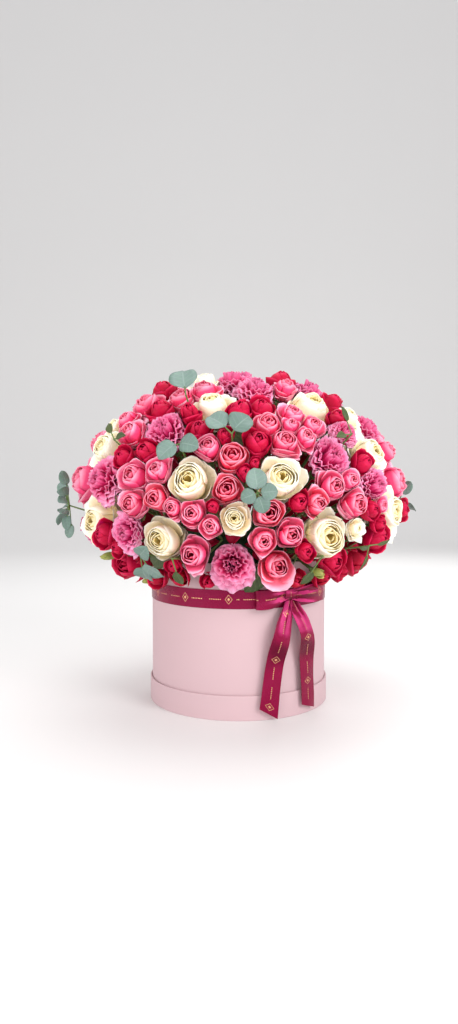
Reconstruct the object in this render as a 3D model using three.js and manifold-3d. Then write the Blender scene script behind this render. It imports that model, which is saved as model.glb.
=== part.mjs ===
// A round card hat box standing in its own lid, filled with wet foam and a dome of roses, spray roses,
// carnations and eucalyptus, and tied round with a satin ribbon that ends in a bow.
//
// Millimetres. The surface it stands on is z = 0, the box's axis is x = y = 0 and its front is -Y.
// Places on the dome are given as seen from STEM_HEART, the point that all stems aim at: a bearing in
// degrees round from the front, positive towards +X, and a height in degrees above level.

import * as THREE from "three";
import { mergeVertices } from "three/addons/utils/BufferGeometryUtils.js";
import Module from "manifold-3d";

const wasm = await Module();
wasm.setup();
const { Manifold } = wasm;

// Box and lid
const SIDES = 36; // facets round every turned piece
const BOX_RADIUS = 125;
const BOX_RIM_Z = 206;
const CARD = 2.5;
const LID_RADIUS = 128;
const LID_HEIGHT = 33;
const SEAT = 0.3; // play between pieces that rest on each other
const CARD_COLOR = "#efd0d6";
const CARD_ROUGHNESS = 0.8;

// Liner and foam
const FILM = 0.8;
const LINER_RADIUS = BOX_RADIUS - CARD - SEAT;
const LINER_BASE_Z = 2 * (CARD + SEAT);
const LINER_RIM_DROP = 3; // below the box's rim
const FOAM_RADIUS = LINER_RADIUS - FILM - SEAT;
const FOAM_BASE_Z = LINER_BASE_Z + FILM + SEAT;
const FOAM_SHOULDER_Z = 222;
const FOAM_SHOULDER_IN = 6; // how far the shoulder stands in from the foam's side
const FOAM_TOP_Z = 255;
const FOAM_RINGS = 2; // facets from the shoulder to the top

// Ribbon
const RIBBON_WIDTH = 25;
const RIBBON_THICK = 0.6;
const RIBBON_MID_Z = 159.2;
const RIBBON_PLAY = 0.3;
const RIBBON_COLOR = "#a52a5c";
const RIBBON_ROUGHNESS = 0.4;
const KNOT_BEARING = 30;
const KNOT_RADIUS = 131.9;
const KNOT_Z = 164;
const KNOT_WIDE = 19;
const KNOT_DEEP = 10.6;
const KNOT_TALL = 17;
const KNOT_SIDES = 7;
const KNOT_RINGS = 4;

// Stations of the bow's loops: bearing, radius, z and half the ribbon's width there
const LEFT_LOOP = [
  [29, 133.5, 164, 6], [24, 137, 162.5, 9.5], [18, 139.5, 160.5, 12], [12, 138.5, 159.5, 12.5],
  [9, 134, 159.5, 12.5], [12, 129.8, 159.5, 12.2], [18, 128.4, 160.5, 12], [24, 128.6, 162.5, 9],
  [29, 130, 164, 6],
];
const RIGHT_LOOP = [
  [31, 133.5, 164, 6], [36, 137.5, 164, 9.5], [44, 140, 164.5, 12], [54, 139, 165, 13],
  [60, 134, 165, 13], [55, 129.8, 165, 12.5], [45, 128.4, 164.5, 12], [37, 128.6, 164, 9],
  [31, 130, 164, 6],
];

// Stations of its tails: bearing, radius, z, half width and how far that half falls towards +X
const LEFT_TAIL = [
  [29.5, 131, 162, 5, 0], [27.8, 133.5, 146, 8, 1.8], [23.8, 136.5, 120, 12.2, 3],
  [20.8, 133.8, 84, 12.3, 2.3], [18.5, 133, 48, 12.3, 1.8], [16.4, 133.5, 9.4, 12.5, 7.4],
];
const RIGHT_TAIL = [
  [30.5, 131, 162, 5, 0], [33.4, 133.5, 146, 8.5, -3], [38.2, 136.5, 120, 12, -3.6],
  [42, 134, 74, 12.3, -1.3], [43.2, 133, 42, 12.3, -0.6], [44, 133.5, 11, 12.5, 3.9],
];

// Dome of flowers: a tall half egg above its belt and a shallow one below
const STEM_HEART = new THREE.Vector3(0, 0, 200);
const BELT_Z = 285;
const DOME_SPREAD = 238;
const DOME_RISE = 183;
const DOME_DROP = 140;
const HEAD_GROWTH = 1.38; // a head is wider than what its neighbours leave to be seen
const LOW_GROWTH = 1.25; // of a low head, which has no neighbour on its outer side
const MOST_RADIUS = 40;
const PLANT_ROUGHNESS = 0.6;
const HEAD_DEPTH = 0.9; // share of its radius that a head's middle lies inside the dome
const FACE_LEAN = 0.6; // 0 faces along the stem, 1 square to the dome
const TWIST = 1.3; // radians that each head of a spray is turned from the one before
const HEAD_GAP = 0.2; // left by each head on its side of the line to a neighbour
const LOW_HEAD = 16; // degrees, below which a head is kept clear of the box
const BOX_CLEARANCE = 5;
const LOW_HEAD_OUT = 0.6; // share of its radius that a low head's middle stands off that clearance
const SETTLE_ROUNDS = 40;
const SETTLE_SHARE = 0.66; // heads press each other down to this share of their free distance
const BACK_SHARE = 0.85; // of two heads at the back, where they lie looser
const BACK_SMALLEST = 32; // heads smaller than this aren't repeated at the back
const BACK_GROWTH = 1.7; // where the fewer heads take up more room

// Stems
const STEM_RADIUS = 2;
const BRANCH_RADIUS = 1.5;
const HOLE_PLAY = 0.5;
const STEM_DEPTH = 22; // in the foam
const NECK_FREE = 4; // of stem at least between its last bend and the head
const LOWEST_STEM = 5.3; // degrees, so that a stem clears the box's rim
const RIM_REACH = 135; // where a low head's stem has passed the rim and may bend down
const FOAM_STEP = 0.5; // in the search for where a stem leaves the foam
const ROD_SIDES = 3;
const UPRIGHT = 0.995; // the rise of a unit direction from which a rod counts as upright
const BOWS = [0, 3, -3, 6, -6, 9, -9, 12, -12]; // degrees, tried in turn for a branch
const BRANCH_CHECKS = 24; // points of each of its straights that are tested
const BRANCH_RISE = 5; // so that a branch joins above the other's own bend
const BRANCH_STEP = 0.4; // between the places where branches join one stem

const radians = THREE.MathUtils.degToRad;

// Kinds of head. A ring is its angle from the face in degrees, then its reach at a petal's tip and at the
// notch beside it, as shares of the head's radius. Tips and notches change places from ring to ring.
const KINDS = {
  garden_rose: {
    petals: 5,
    back: 0.62,
    rings: [[98, 1, 0.84], [70, 0.86, 0.76], [50, 1.02, 0.86], [28, 0.8, 0.74]],
    face: 0.94,
    shell: 146,
    color: "#f7efdc",
  },
  spray_rose: {
    petals: 4,
    back: 0.62,
    rings: [[94, 1, 0.88], [64, 0.86, 0.78], [44, 1.04, 0.92], [24, 0.8, 0.74]],
    face: 0.96,
    shell: 138,
    color: "#ee6d97",
  },
  rose_bud: {
    petals: 3,
    back: 0.66,
    rings: [[96, 0.98, 0.86], [50, 1.02, 0.86], [24, 0.84, 0.8]],
    face: 1.02,
    shell: 130,
    color: "#c4123f",
  },
  carnation: {
    petals: 5,
    back: 0.66,
    rings: [[98, 1.02, 0.8], [70, 0.92, 0.72], [46, 1.06, 0.78], [22, 0.94, 0.72]],
    face: 0.8,
    shell: 154,
    color: "#dd6f9f",
  },
  green_bud: {
    petals: 2,
    back: 0.8,
    rings: [[100, 0.8, 0.74], [34, 1, 0.94]],
    face: 1.6,
    shell: 132,
    color: "#8f9e4f",
  },
};

// Sprays of the front, head by head: bearing, height and the width that shows. The first head's stem
// goes down into the foam and each of the others joins the nearest stem of its spray.
const SPRAYS = {
  carnation: [
    [[-9, 76, 49], [12, 65, 50], [92, 88, 46]],
    [[76, 45, 47], [68, 66, 45], [97, 57, 50], [92, 14, 54]],
    [[31, 35, 56], [42, 43, 30], [49, 26, 38]],
    [[-4, 5, 61]],
    [[-30, 44, 52], [-52, 28, 43], [-40, 14, 42]],
  ],
  garden_rose: [
    [[-14, 54, 50], [-34, 72, 30]],
    [[41, 55, 60], [59, 50, 32], [56, 36, 47], [65, 19, 45], [96, 73, 46]],
    [[13, 30, 54], [31, 14, 59], [41, 15, 31]],
    [[-16, 29, 55], [-27, 12, 56], [-2, 17, 33]],
    [[-62, 17, 58], [-60, 38, 42], [-63, 44, 27]],
  ],
  spray_rose: [
    [[-32, 57, 34], [-23, 62, 34], [-55, 55, 40], [-55, 47, 28], [-44, 41, 25], [-79, 28, 48]],
    [[21, 47, 31], [31, 62, 26], [20, 41, 22], [26, 38, 27], [29, 41, 29], [11, 43, 33], [15, 37, 33]],
    [[-26, 30, 30], [-36, 30, 38], [-36, 21, 34], [-26, 22, 32], [-20, 20, 23]],
    [[-3, 34, 36], [-11, 35, 31], [-4, 25, 33], [-15, 19, 30], [-9, 15, 27], [-17, 8, 40]],
    [[8, 18, 34], [6, 12, 33], [16, 13, 37], [16, 4, 41]],
    [[30, 28, 34], [26, 23, 31], [37, 21, 35], [35, 25, 24], [51, 20, 19]],
    [[78, 28, 47], [77, 37, 36], [93, 42, 42]],
  ],
  rose_bud: [
    [[0, 49, 27], [9, 50, 30], [6, 38, 32], [-7, 38, 18], [-14, 41, 24]],
    [[-36, 50, 31], [-23, 48, 23], [-59, 63, 23], [-33, 36, 29], [-41, 33, 21]],
    [[-53, 12, 27], [-47, 8, 18], [-72, 0, 39], [-25, 3, 15]],
    [[2, 29, 19], [5, 30, 14], [-8, 20, 15], [17, 23, 23], [22, 8, 24], [39, 4, 30]],
    [
      [42, 47, 22], [49, 55, 24], [42, 71, 23], [45, 32, 26], [45, 19, 24], [51, 15, 18],
      [56, 11, 27], [77, 18, 21], [88, 1, 36],
    ],
  ],
  green_bud: [
    [[-61, 4, 13], [-59, -9, 13]],
    [[34, -1, 13]],
  ],
};

// Leafy sprigs: where the stem comes up between the heads, then its leaves: bearing and height of the
// middle, length, width and how far the tip stands off the dome, in degrees
const SPRIGS = {
  eucalyptus: [
    { stem: [-24, 53], leaves: [[-28, 58, 31, 33, 30]] },
    { stem: [-5.1, 38], leaves: [[-7.6, 40.9, 25, 27, 8], [-1.6, 38.9, 25, 28, 8]] },
    { stem: [-17.3, 31.7], leaves: [[-20.2, 33.9, 24, 25, 8], [-15.7, 34.3, 22, 22, 8]] },
    {
      stem: [4.5, 22.4],
      leaves: [[4, 25.5, 23, 22, 8], [2.1, 21.4, 16, 17, 8], [7.4, 22.4, 18, 18, 8], [5.5, 19.3, 18, 18, 8]],
    },
    {
      stem: [-82, 18],
      leaves: [[-85, 23, 22, 15, 35], [-77, 22, 20, 14, 20], [-88, 17, 22, 15, 45], [-79, 13, 20, 14, 20]],
      atBack: true,
    },
    { stem: [-34, 6], leaves: [[-31, 1, 28, 26, 8], [-37, -1, 27, 25, 8]] },
  ],
  rose_leaf: [
    { stem: [38, 39], leaves: [[39, 44, 22, 12, 25], [33, 37, 20, 11, 12]] },
    { stem: [46, 8], leaves: [[41, 8, 24, 7, 14], [47, 3, 24, 7, 14], [51, 9, 22, 7, 14]] },
    { stem: [-46, 37], leaves: [[-41, 37, 20, 11, 14], [-50, 40, 20, 11, 14]] },
    { stem: [-21, 6], leaves: [[-22, -1, 24, 15, 14]] },
    { stem: [27, 6], leaves: [[24, -1, 24, 15, 14]] },
  ],
};
const LEAF_KINDS = {
  eucalyptus: { pointed: 0.1, color: "#9db3a5" },
  rose_leaf: { pointed: 0.55, color: "#61704a" },
};
const SPRIG_WIDTH = 5; // what a sprig's stem takes up between heads
const SPRIG_CLEARANCE = 2.4; // from a sprig's stem to the heads beside it
const LEAF_LIFT = 8; // of a leaf's middle off the dome
const TWIG_END = 0.6; // share of that lift that the twig's end has
const LEAF_THICK = 0.8;
const LEAF_SIDES = 6;
const LEAF_DISH = 1.2;
const STALK_HALF = 0.8; // half the width of a leaf's stalk
const STALK_SUNK = 1.2; // below the twig's end
const STALK_LEAST = 4;

const MERGE = 1e-4; // corners nearer than this are one
const SLIVER = 0.02; // edges shorter than this, as a join leaves them, are taken out

// Turns points and triangles into a solid
function solidOf(points, triangles) {
  const vertProperties = new Float32Array(points.flatMap((p) => [p.x, p.y, p.z]));
  const triVerts = new Uint32Array(triangles.flat());
  return new Manifold(new wasm.Mesh({ numProp: 3, vertProperties, triVerts }));
}

// Turns a closed three.js geometry into a solid
function solidOfGeometry(geometry) {
  geometry.deleteAttribute("normal");
  geometry.deleteAttribute("uv");
  const merged = mergeVertices(geometry, MERGE);
  const triVerts = Uint32Array.from(merged.index.array);
  const vertProperties = Float32Array.from(merged.attributes.position.array);
  return new Manifold(new wasm.Mesh({ numProp: 3, vertProperties, triVerts }));
}

// Back to a three.js geometry
function geometryOfSolid(solid) {
  const { vertProperties, triVerts } = solid.simplify(SLIVER).getMesh();
  const geometry = new THREE.BufferGeometry();
  geometry.setAttribute("position", new THREE.BufferAttribute(Float32Array.from(vertProperties), 3));
  geometry.setIndex(new THREE.BufferAttribute(Uint32Array.from(triVerts), 1));
  geometry.computeVertexNormals();
  return geometry;
}

const hatBox = new THREE.Group();
hatBox.name = "flower_hat_box";

function addMesh(name, geometry, color, roughness) {
  const material = new THREE.MeshStandardMaterial({ color, roughness, metalness: 0 });
  const mesh = new THREE.Mesh(geometry, material);
  mesh.name = name;
  hatBox.add(mesh);
}

// Turns a profile of [radius, z] points round the box's axis
function turned(profile) {
  const geometry = new THREE.LatheGeometry(profile.map(([r, z]) => new THREE.Vector2(r, z)), SIDES);
  return geometry.rotateX(Math.PI / 2);
}

// A straight-sided cup, open at its rim
function cup(outerRadius, wall, bottomZ, floor, rimZ) {
  const inner = outerRadius - wall;
  const outside = [[0, bottomZ], [outerRadius, bottomZ], [outerRadius, rimZ]];
  return turned([...outside, [inner, rimZ], [inner, bottomZ + floor], [0, bottomZ + floor]]);
}

// Corners and triangles of a three-sided rod through a row of points, open at its last end
function rodMesh(path, radius) {
  const last = path.length - 1;
  const side = new THREE.Vector3();
  const points = [];
  path.forEach((point, k) => {
    const heading = path[Math.min(k + 1, last)].clone().sub(path[Math.max(k - 1, 0)]).normalize();
    if (k === 0) {
      const upright = Math.abs(heading.z) > UPRIGHT;
      side.set(upright ? 1 : 0, 0, upright ? 0 : 1).cross(heading);
    }
    side.addScaledVector(heading, -side.dot(heading)).normalize();
    const up = heading.clone().cross(side);
    for (let i = 0; i < ROD_SIDES; i++) {
      const turn = (2 * Math.PI * i) / ROD_SIDES;
      const corner = point.clone().addScaledVector(side, radius * Math.cos(turn));
      points.push(corner.addScaledVector(up, radius * Math.sin(turn)));
    }
  });
  const end = last * ROD_SIDES;
  const triangles = [[2, 1, 0]];
  for (let ring = 0; ring < end; ring += ROD_SIDES) {
    for (let i = 0; i < ROD_SIDES; i++) {
      const [p, q] = [ring + i, ring + ((i + 1) % ROD_SIDES)];
      triangles.push([p, q, q + ROD_SIDES], [p, q + ROD_SIDES, p + ROD_SIDES]);
    }
  }
  return { points, triangles, end };
}

function rod(path, radius) {
  const { points, triangles, end } = rodMesh(path, radius);
  return solidOf(points, triangles.concat([[end, end + 1, end + 2]]));
}

// The dome
function direction(bearing, height) {
  const level = Math.cos(radians(height));
  return new THREE.Vector3(
    level * Math.sin(radians(bearing)),
    -level * Math.cos(radians(bearing)),
    Math.sin(radians(height)),
  );
}

function bearingOf(d) {
  return THREE.MathUtils.radToDeg(Math.atan2(d.x, -d.y));
}

function heightOf(d) {
  return THREE.MathUtils.radToDeg(Math.asin(d.z));
}

// How far the dome lies from STEM_HEART along a direction, with the dome drawn in by an inset
function domeReach(d, inset) {
  const spread = DOME_SPREAD - inset;
  const fall = STEM_HEART.z - BELT_Z;
  const reachOf = (height) => {
    const a = (d.x * d.x + d.y * d.y) / spread ** 2 + d.z ** 2 / height ** 2;
    const b = (2 * d.z * fall) / height ** 2;
    const c = fall ** 2 / height ** 2 - 1;
    return (-b + Math.sqrt(b * b - 4 * a * c)) / (2 * a);
  };
  const above = reachOf(DOME_RISE - inset);
  return fall + d.z * above >= 0 ? above : reachOf(DOME_DROP - inset);
}

function domeNormal(point, inset) {
  const rise = point.z - BELT_Z;
  const height = (rise > 0 ? DOME_RISE : DOME_DROP) - inset;
  const spread = DOME_SPREAD - inset;
  return new THREE.Vector3(point.x / spread ** 2, point.y / spread ** 2, rise / height ** 2).normalize();
}

function onDome(d, inset) {
  return STEM_HEART.clone().addScaledVector(d, domeReach(d, inset));
}

// A place that takes up room on the dome: a head, or a sprig's stem
function makePlace(kind, bearing, height, width, growth) {
  const grown = (width / 2) * (height < LOW_HEAD ? Math.min(growth, LOW_GROWTH) : growth);
  const radius = Math.min(grown, MOST_RADIUS);
  const place = { kind, width, radius, d: direction(bearing, height) };
  place.span = Math.atan(radius / domeReach(place.d, HEAD_DEPTH * radius));
  return place;
}

// Heads press each other aside until none is squeezed too far, a small one giving way more
function settle(places) {
  for (let round = 0; round < SETTLE_ROUNDS; round++) {
    for (let i = 0; i < places.length; i++) {
      for (let j = i + 1; j < places.length; j++) {
        const [a, b] = [places[i], places[j]];
        const apart = a.d.angleTo(b.d);
        const share = a.isBack && b.isBack ? BACK_SHARE : SETTLE_SHARE;
        const lack = share * (a.span + b.span) - apart;
        if (lack > 0) {
          const away = a.d.clone().sub(b.d).normalize();
          const yielding = b.radius ** 2 / (a.radius ** 2 + b.radius ** 2);
          a.d.addScaledVector(away, lack * yielding).normalize();
          b.d.addScaledVector(away, -lack * (1 - yielding)).normalize();
        }
      }
    }
  }
}

// Gives a settled place its middle, its facing and the lines that it keeps to one side of: the line to
// a neighbouring head shares the way to it by their sizes, and a sprig's stem is passed at a fixed distance
function fit(place, places) {
  const inset = HEAD_DEPTH * place.radius;
  const level = Math.hypot(place.d.x, place.d.y);
  const offBox = BOX_RADIUS + BOX_CLEARANCE + LOW_HEAD_OUT * place.radius;
  const isLow = heightOf(place.d) < LOW_HEAD;
  const reach = domeReach(place.d, inset);
  place.middle = along(place.d, isLow ? Math.max(reach, offBox / level) : reach);
  place.facing = place.d.clone().lerp(domeNormal(place.middle, inset), FACE_LEAN).normalize();
  const isNear = (other) => other !== place && other.d.angleTo(place.d) < place.span + other.span;
  place.lines = places.filter(isNear).map((other) => {
    if (other.isSprig) {
      const normal = place.d.clone().addScaledVector(other.d, -place.d.dot(other.d)).normalize();
      return { normal, gap: SPRIG_CLEARANCE };
    }
    const share = place.span / (place.span + other.span);
    const border = place.d.clone().lerp(other.d, share).normalize();
    const normal = place.d.clone().sub(other.d);
    normal.addScaledVector(border, -normal.dot(border)).normalize();
    return { normal, gap: HEAD_GAP };
  });
  if (isLow) {
    place.lines.push({ normal: direction(bearingOf(place.d), 0), gap: BOX_RADIUS + BOX_CLEARANCE });
  }
}

// Cuts a reach short where it would cross the line to a neighbour
function clearedReach(place, toward, reach) {
  const offset = place.middle.clone().sub(STEM_HEART);
  let cleared = reach;
  for (const line of place.lines) {
    const room = offset.dot(line.normal) - line.gap;
    const slope = -toward.dot(line.normal);
    if (slope > 0) {
      cleared = Math.min(cleared, room / slope);
    }
  }
  return cleared;
}

// One head on its stem: rings of petal tips and notches round its middle, narrowing behind to a neck
// where the stem starts. The stem's path comes from its foot and stops short of the head.
function headSolid(place, spin, stemPath, stemRadius) {
  const kind = KINDS[place.kind];
  const samples = 2 * kind.petals;
  const side = new THREE.Vector3(0, 0, 1).cross(place.facing).normalize();
  const up = place.facing.clone().cross(side);
  const at = (tilt, turn, share) => {
    const toward = place.facing.clone().multiplyScalar(Math.cos(tilt));
    toward.addScaledVector(side, Math.sin(tilt) * Math.cos(turn));
    toward.addScaledVector(up, Math.sin(tilt) * Math.sin(turn));
    const reach = clearedReach(place, toward, share * place.radius);
    return place.middle.clone().addScaledVector(toward, reach);
  };
  const below = stemPath[stemPath.length - 1].clone().sub(place.middle);
  const neckDepth = Math.min(kind.back * place.radius, below.length() - NECK_FREE);
  const neck = place.middle.clone().addScaledVector(below.normalize(), neckDepth);
  const stem = rodMesh([...stemPath, neck], stemRadius);
  const { points, triangles } = stem;
  const first = points.length;
  kind.rings.forEach(([tilt, tip, notch], ring) => {
    for (let i = 0; i < samples; i++) {
      const share = (i + ring) % 2 === 0 ? tip : notch;
      points.push(at(radians(tilt), spin + (2 * Math.PI * i) / samples, share));
    }
  });
  points.push(at(0, 0, kind.face));
  const last = points.length - 1;
  const lastRing = last - samples;

  // The neck's corners share the first ring's samples out, from the one in line with the first corner
  const out = points[stem.end].clone().sub(neck);
  const cornerTurn = Math.atan2(out.dot(up), out.dot(side)) - spin;
  const inLine = Math.round((cornerTurn * samples) / (2 * Math.PI));
  const cornerAt = (i) => {
    const past = THREE.MathUtils.euclideanModulo(i - inLine, samples);
    return stem.end + (Math.round((ROD_SIDES * past) / samples) % ROD_SIDES);
  };
  for (let i = 0; i < samples; i++) {
    const next = (i + 1) % samples;
    const [corner, nextCorner] = [cornerAt(i), cornerAt(next)];
    triangles.push([first + i, corner, first + next]);
    if (nextCorner !== corner) {
      triangles.push([first + next, corner, nextCorner]);
    }
    triangles.push([last, lastRing + i, lastRing + next]);
    for (let ring = first; ring < lastRing; ring += samples) {
      const [p, q] = [ring + i, ring + next];
      triangles.push([p, q, q + samples], [p, q + samples, p + samples]);
    }
  }
  return solidOf(points, triangles);
}

// Stems
function foamTopZ(radius) {
  const shoulder = FOAM_RADIUS - FOAM_SHOULDER_IN;
  if (radius > shoulder) {
    return FOAM_SHOULDER_Z - ((radius - shoulder) / FOAM_SHOULDER_IN) * (FOAM_SHOULDER_Z - BOX_RIM_Z);
  }
  return FOAM_TOP_Z - (FOAM_TOP_Z - FOAM_SHOULDER_Z) * (radius / shoulder) ** 2;
}

// Distance from STEM_HEART to the foam's surface along a direction
function foamReach(d) {
  let reach = 0;
  const inside = (r) => {
    const level = r * Math.hypot(d.x, d.y);
    return level < FOAM_RADIUS && STEM_HEART.z + r * d.z < foamTopZ(level);
  };
  while (inside(reach)) {
    reach += FOAM_STEP;
  }
  return reach;
}

// A stem's direction, raised so that it passes over the box's rim
function stemDirection(d) {
  return heightOf(d) < LOWEST_STEM ? direction(bearingOf(d), LOWEST_STEM) : d;
}

function along(d, reach) {
  return STEM_HEART.clone().addScaledVector(d, reach);
}

// Path from the foam to just short of what it carries, with a bend at the rim where it has to be
function mainStemPath(d) {
  const raised = stemDirection(d);
  const foot = along(raised, foamReach(raised) - STEM_DEPTH);
  return raised === d ? [foot] : [foot, along(raised, RIM_REACH)];
}

function distanceToSpoke(point, d) {
  const offset = point.clone().sub(STEM_HEART);
  return offset.addScaledVector(d, -offset.dot(d)).length();
}

// Path to a head from another stem of its spray: across, bowed sideways as far as it takes to clear the
// stems that pass there, and up the head's own line
function sideBranchPath(fromD, toD, shell, rise, spokes) {
  const clearance = STEM_RADIUS + BRANCH_RADIUS;
  const knee = along(fromD, shell);
  const end = along(toD, shell + rise);
  const sideways = fromD.clone().cross(toD).normalize();
  const middle = fromD.clone().lerp(toD, 0.5).normalize();
  for (const bow of BOWS) {
    const bowed = middle.clone().addScaledVector(sideways, Math.tan(radians(bow))).normalize();
    const crossing = bow === 0 ? [knee, end] : [knee, along(bowed, shell), end];
    const samples = [];
    for (let k = 0; k + 1 < crossing.length; k++) {
      for (let i = 0; i <= BRANCH_CHECKS; i++) {
        samples.push(crossing[k].clone().lerp(crossing[k + 1], i / BRANCH_CHECKS));
      }
    }
    if (samples.every((p) => spokes.every((d) => distanceToSpoke(p, d) > clearance))) {
      return crossing.reverse();
    }
  }
  throw new Error("no clear way for a branch");
}

// A leaf: a dished blade whose foot runs on as a flat stalk to the twig's end
function leafSolid(leaf, pointed, twigEnd) {
  const [bearing, height, length, width, standing] = leaf;
  const middle = onDome(direction(bearing, height), -LEAF_LIFT);
  const normal = domeNormal(middle, -LEAF_LIFT);
  const tipward = middle.clone().sub(twigEnd);
  tipward.addScaledVector(normal, -tipward.dot(normal));
  const away = tipward.length();
  const stalkLength = Math.max(away - length / 2, STALK_LEAST);
  tipward.normalize();
  const across = tipward.clone().cross(normal);
  const axis = tipward.clone().multiplyScalar(Math.cos(radians(standing)));
  axis.addScaledVector(normal, Math.sin(radians(standing)));
  const out = across.clone().cross(axis);
  const base = middle.clone().addScaledVector(tipward, stalkLength - away);
  const at = (x, y, z) => {
    const point = base.clone().addScaledVector(across, x).addScaledVector(axis, y);
    return point.addScaledVector(out, z);
  };
  const half = LEAF_THICK / 2;
  const points = [at(0, length / 2, half - LEAF_DISH), at(0, length / 2, -half - LEAF_DISH)];
  const foot = twigEnd.clone().addScaledVector(normal, -STALK_SUNK);
  const stalk = [-1, 1].map((s) => foot.clone().addScaledVector(across, s * STALK_HALF));
  const rim = [];
  for (let i = 0; i < LEAF_SIDES; i++) {
    const turn = (2 * Math.PI * (i + 1)) / (LEAF_SIDES + 1) - Math.PI / 2;
    const narrowed = 1 - pointed * Math.max(0, Math.sin(turn));
    rim.push([(width / 2) * Math.cos(turn) * narrowed, (length / 2) * (1 + Math.sin(turn))]);
  }
  rim.forEach(([x, y]) => points.push(at(x, y, half), at(x, y, -half)));
  for (const s of [-1, 1]) {
    points.push(at(s * STALK_HALF, 0, half), at(s * STALK_HALF, 0, -half));
  }
  const rimEnd = 2 + 2 * LEAF_SIDES;
  const tip = points.length;
  for (const corner of stalk) {
    points.push(corner.clone().addScaledVector(out, half), corner.clone().addScaledVector(out, -half));
  }
  const loop = [];
  for (let k = 2; k < tip; k += 2) {
    loop.push(k);
  }
  const triangles = [];
  loop.forEach((a, i) => {
    const b = loop[(i + 1) % loop.length];
    triangles.push([0, a, b], [1, b + 1, a + 1]);
    if (a !== rimEnd) {
      triangles.push([a, a + 1, b + 1], [a, b + 1, b]);
    }
  });
  const [left, right] = [rimEnd, rimEnd + 2];
  const [farLeft, farRight] = [tip, tip + 2];
  triangles.push([left, farLeft, farRight], [left, farRight, right]);
  triangles.push([left + 1, farRight + 1, farLeft + 1], [left + 1, right + 1, farRight + 1]);
  triangles.push([left, left + 1, farLeft + 1], [left, farLeft + 1, farLeft]);
  triangles.push([farRight, farRight + 1, right + 1], [farRight, right + 1, right]);
  triangles.push([farLeft, farLeft + 1, farRight + 1], [farLeft, farRight + 1, farRight]);
  return solidOf(points, triangles);
}

// Everything that takes up room on the dome, the front first and then the same turned half round
const places = [];
const sprays = [];
const sprigs = [];

function addSpray(kind, heads, turn) {
  const isBack = turn !== 0;
  const growth = isBack ? BACK_GROWTH : HEAD_GROWTH;
  const candidates = heads.map(([bearing, height, width]) => {
    const place = makePlace(kind, bearing + turn, height, width, growth);
    place.isBack = isBack;
    return place;
  });
  const isFree = (place, other) => other.d.angleTo(place.d) > SETTLE_SHARE * (other.span + place.span);
  const isKept = (place) => place.width >= BACK_SMALLEST && places.every((other) => isFree(place, other));
  const kept = isBack ? candidates.filter(isKept) : candidates;
  if (kept.length > 0) {
    places.push(...kept);
    sprays.push({ kind, places: kept });
  }
}

function addSprig(kind, { stem, leaves }, turn) {
  const place = makePlace(kind, stem[0] + turn, stem[1], SPRIG_WIDTH, 1);
  place.isSprig = true;
  places.push(place);
  sprigs.push({ kind, place, leaves: leaves.map((leaf) => [leaf[0] + turn, ...leaf.slice(1)]) });
}

for (const turn of [0, 180]) {
  for (const [kind, list] of Object.entries(SPRIGS)) {
    list.filter((sprig) => turn === 0 || sprig.atBack).forEach((sprig) => addSprig(kind, sprig, turn));
  }
  for (const [kind, list] of Object.entries(SPRAYS)) {
    list.forEach((heads) => addSpray(kind, heads, turn));
  }
}
settle(places);
places.forEach((place) => fit(place, places));

const sprigPlaces = sprigs.map((sprig) => sprig.place);
const stemsIntoFoam = sprays.map((spray) => spray.places[0]).concat(sprigPlaces);

// Directions of the other plants' stems that a shell of branches has to let through
function spokesThrough(shell, own) {
  const others = sprays.filter((spray) => spray !== own);
  const reaching = others.flatMap((spray) => {
    return spray.places.filter((place, i) => i === 0 || KINDS[spray.kind].shell < shell);
  });
  return reaching.concat(sprigPlaces).map((place) => stemDirection(place.d));
}

// A spray: its heads, the first one's stem into the foam, and the others' side branches
function spraySolid(spray) {
  const shell = KINDS[spray.kind].shell;
  const spokes = spokesThrough(shell, spray);
  const parts = [];
  spray.places.forEach((place, i) => {
    if (i === 0) {
      parts.push(headSolid(place, 0, mainStemPath(place.d), STEM_RADIUS));
      return;
    }
    const d = stemDirection(place.d);
    const joined = spray.places.slice(0, i).map((other) => stemDirection(other.d));
    const nearest = joined.reduce((best, other) => (other.angleTo(d) < best.angleTo(d) ? other : best));
    const rise = BRANCH_RISE + BRANCH_STEP * i;
    const path = sideBranchPath(d, nearest, shell, rise, spokes);
    parts.push(headSolid(place, TWIST * i, path, BRANCH_RADIUS));
  });
  return Manifold.union(parts);
}

// A sprig: its stem through the heads and its leaves lying on them
function sprigSolid(sprig) {
  const { d } = sprig.place;
  const top = onDome(d, -LEAF_LIFT * TWIG_END);
  const parts = [rod([...mainStemPath(d), top], BRANCH_RADIUS)];
  sprig.leaves.forEach((leaf) => parts.push(leafSolid(leaf, LEAF_KINDS[sprig.kind].pointed, top)));
  return Manifold.union(parts);
}

function foamSolid() {
  const shoulder = FOAM_RADIUS - FOAM_SHOULDER_IN;
  const profile = [[0, FOAM_BASE_Z], [FOAM_RADIUS, FOAM_BASE_Z], [FOAM_RADIUS, BOX_RIM_Z]];
  for (let ring = FOAM_RINGS; ring >= 0; ring--) {
    const radius = (shoulder * ring) / FOAM_RINGS;
    profile.push([radius, foamTopZ(radius)]);
  }
  const holes = stemsIntoFoam.map((place) => {
    const d = stemDirection(place.d);
    const reach = foamReach(d);
    const radius = (place.isSprig ? BRANCH_RADIUS : STEM_RADIUS) + HOLE_PLAY;
    return rod([along(d, reach - STEM_DEPTH - SEAT), along(d, reach + STEM_DEPTH)], radius);
  });
  return solidOfGeometry(turned(profile)).subtract(Manifold.union(holes));
}

// Ribbon
function onBox(bearing, radius, z) {
  return direction(bearing, 0).multiplyScalar(radius).setZ(z);
}

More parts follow.
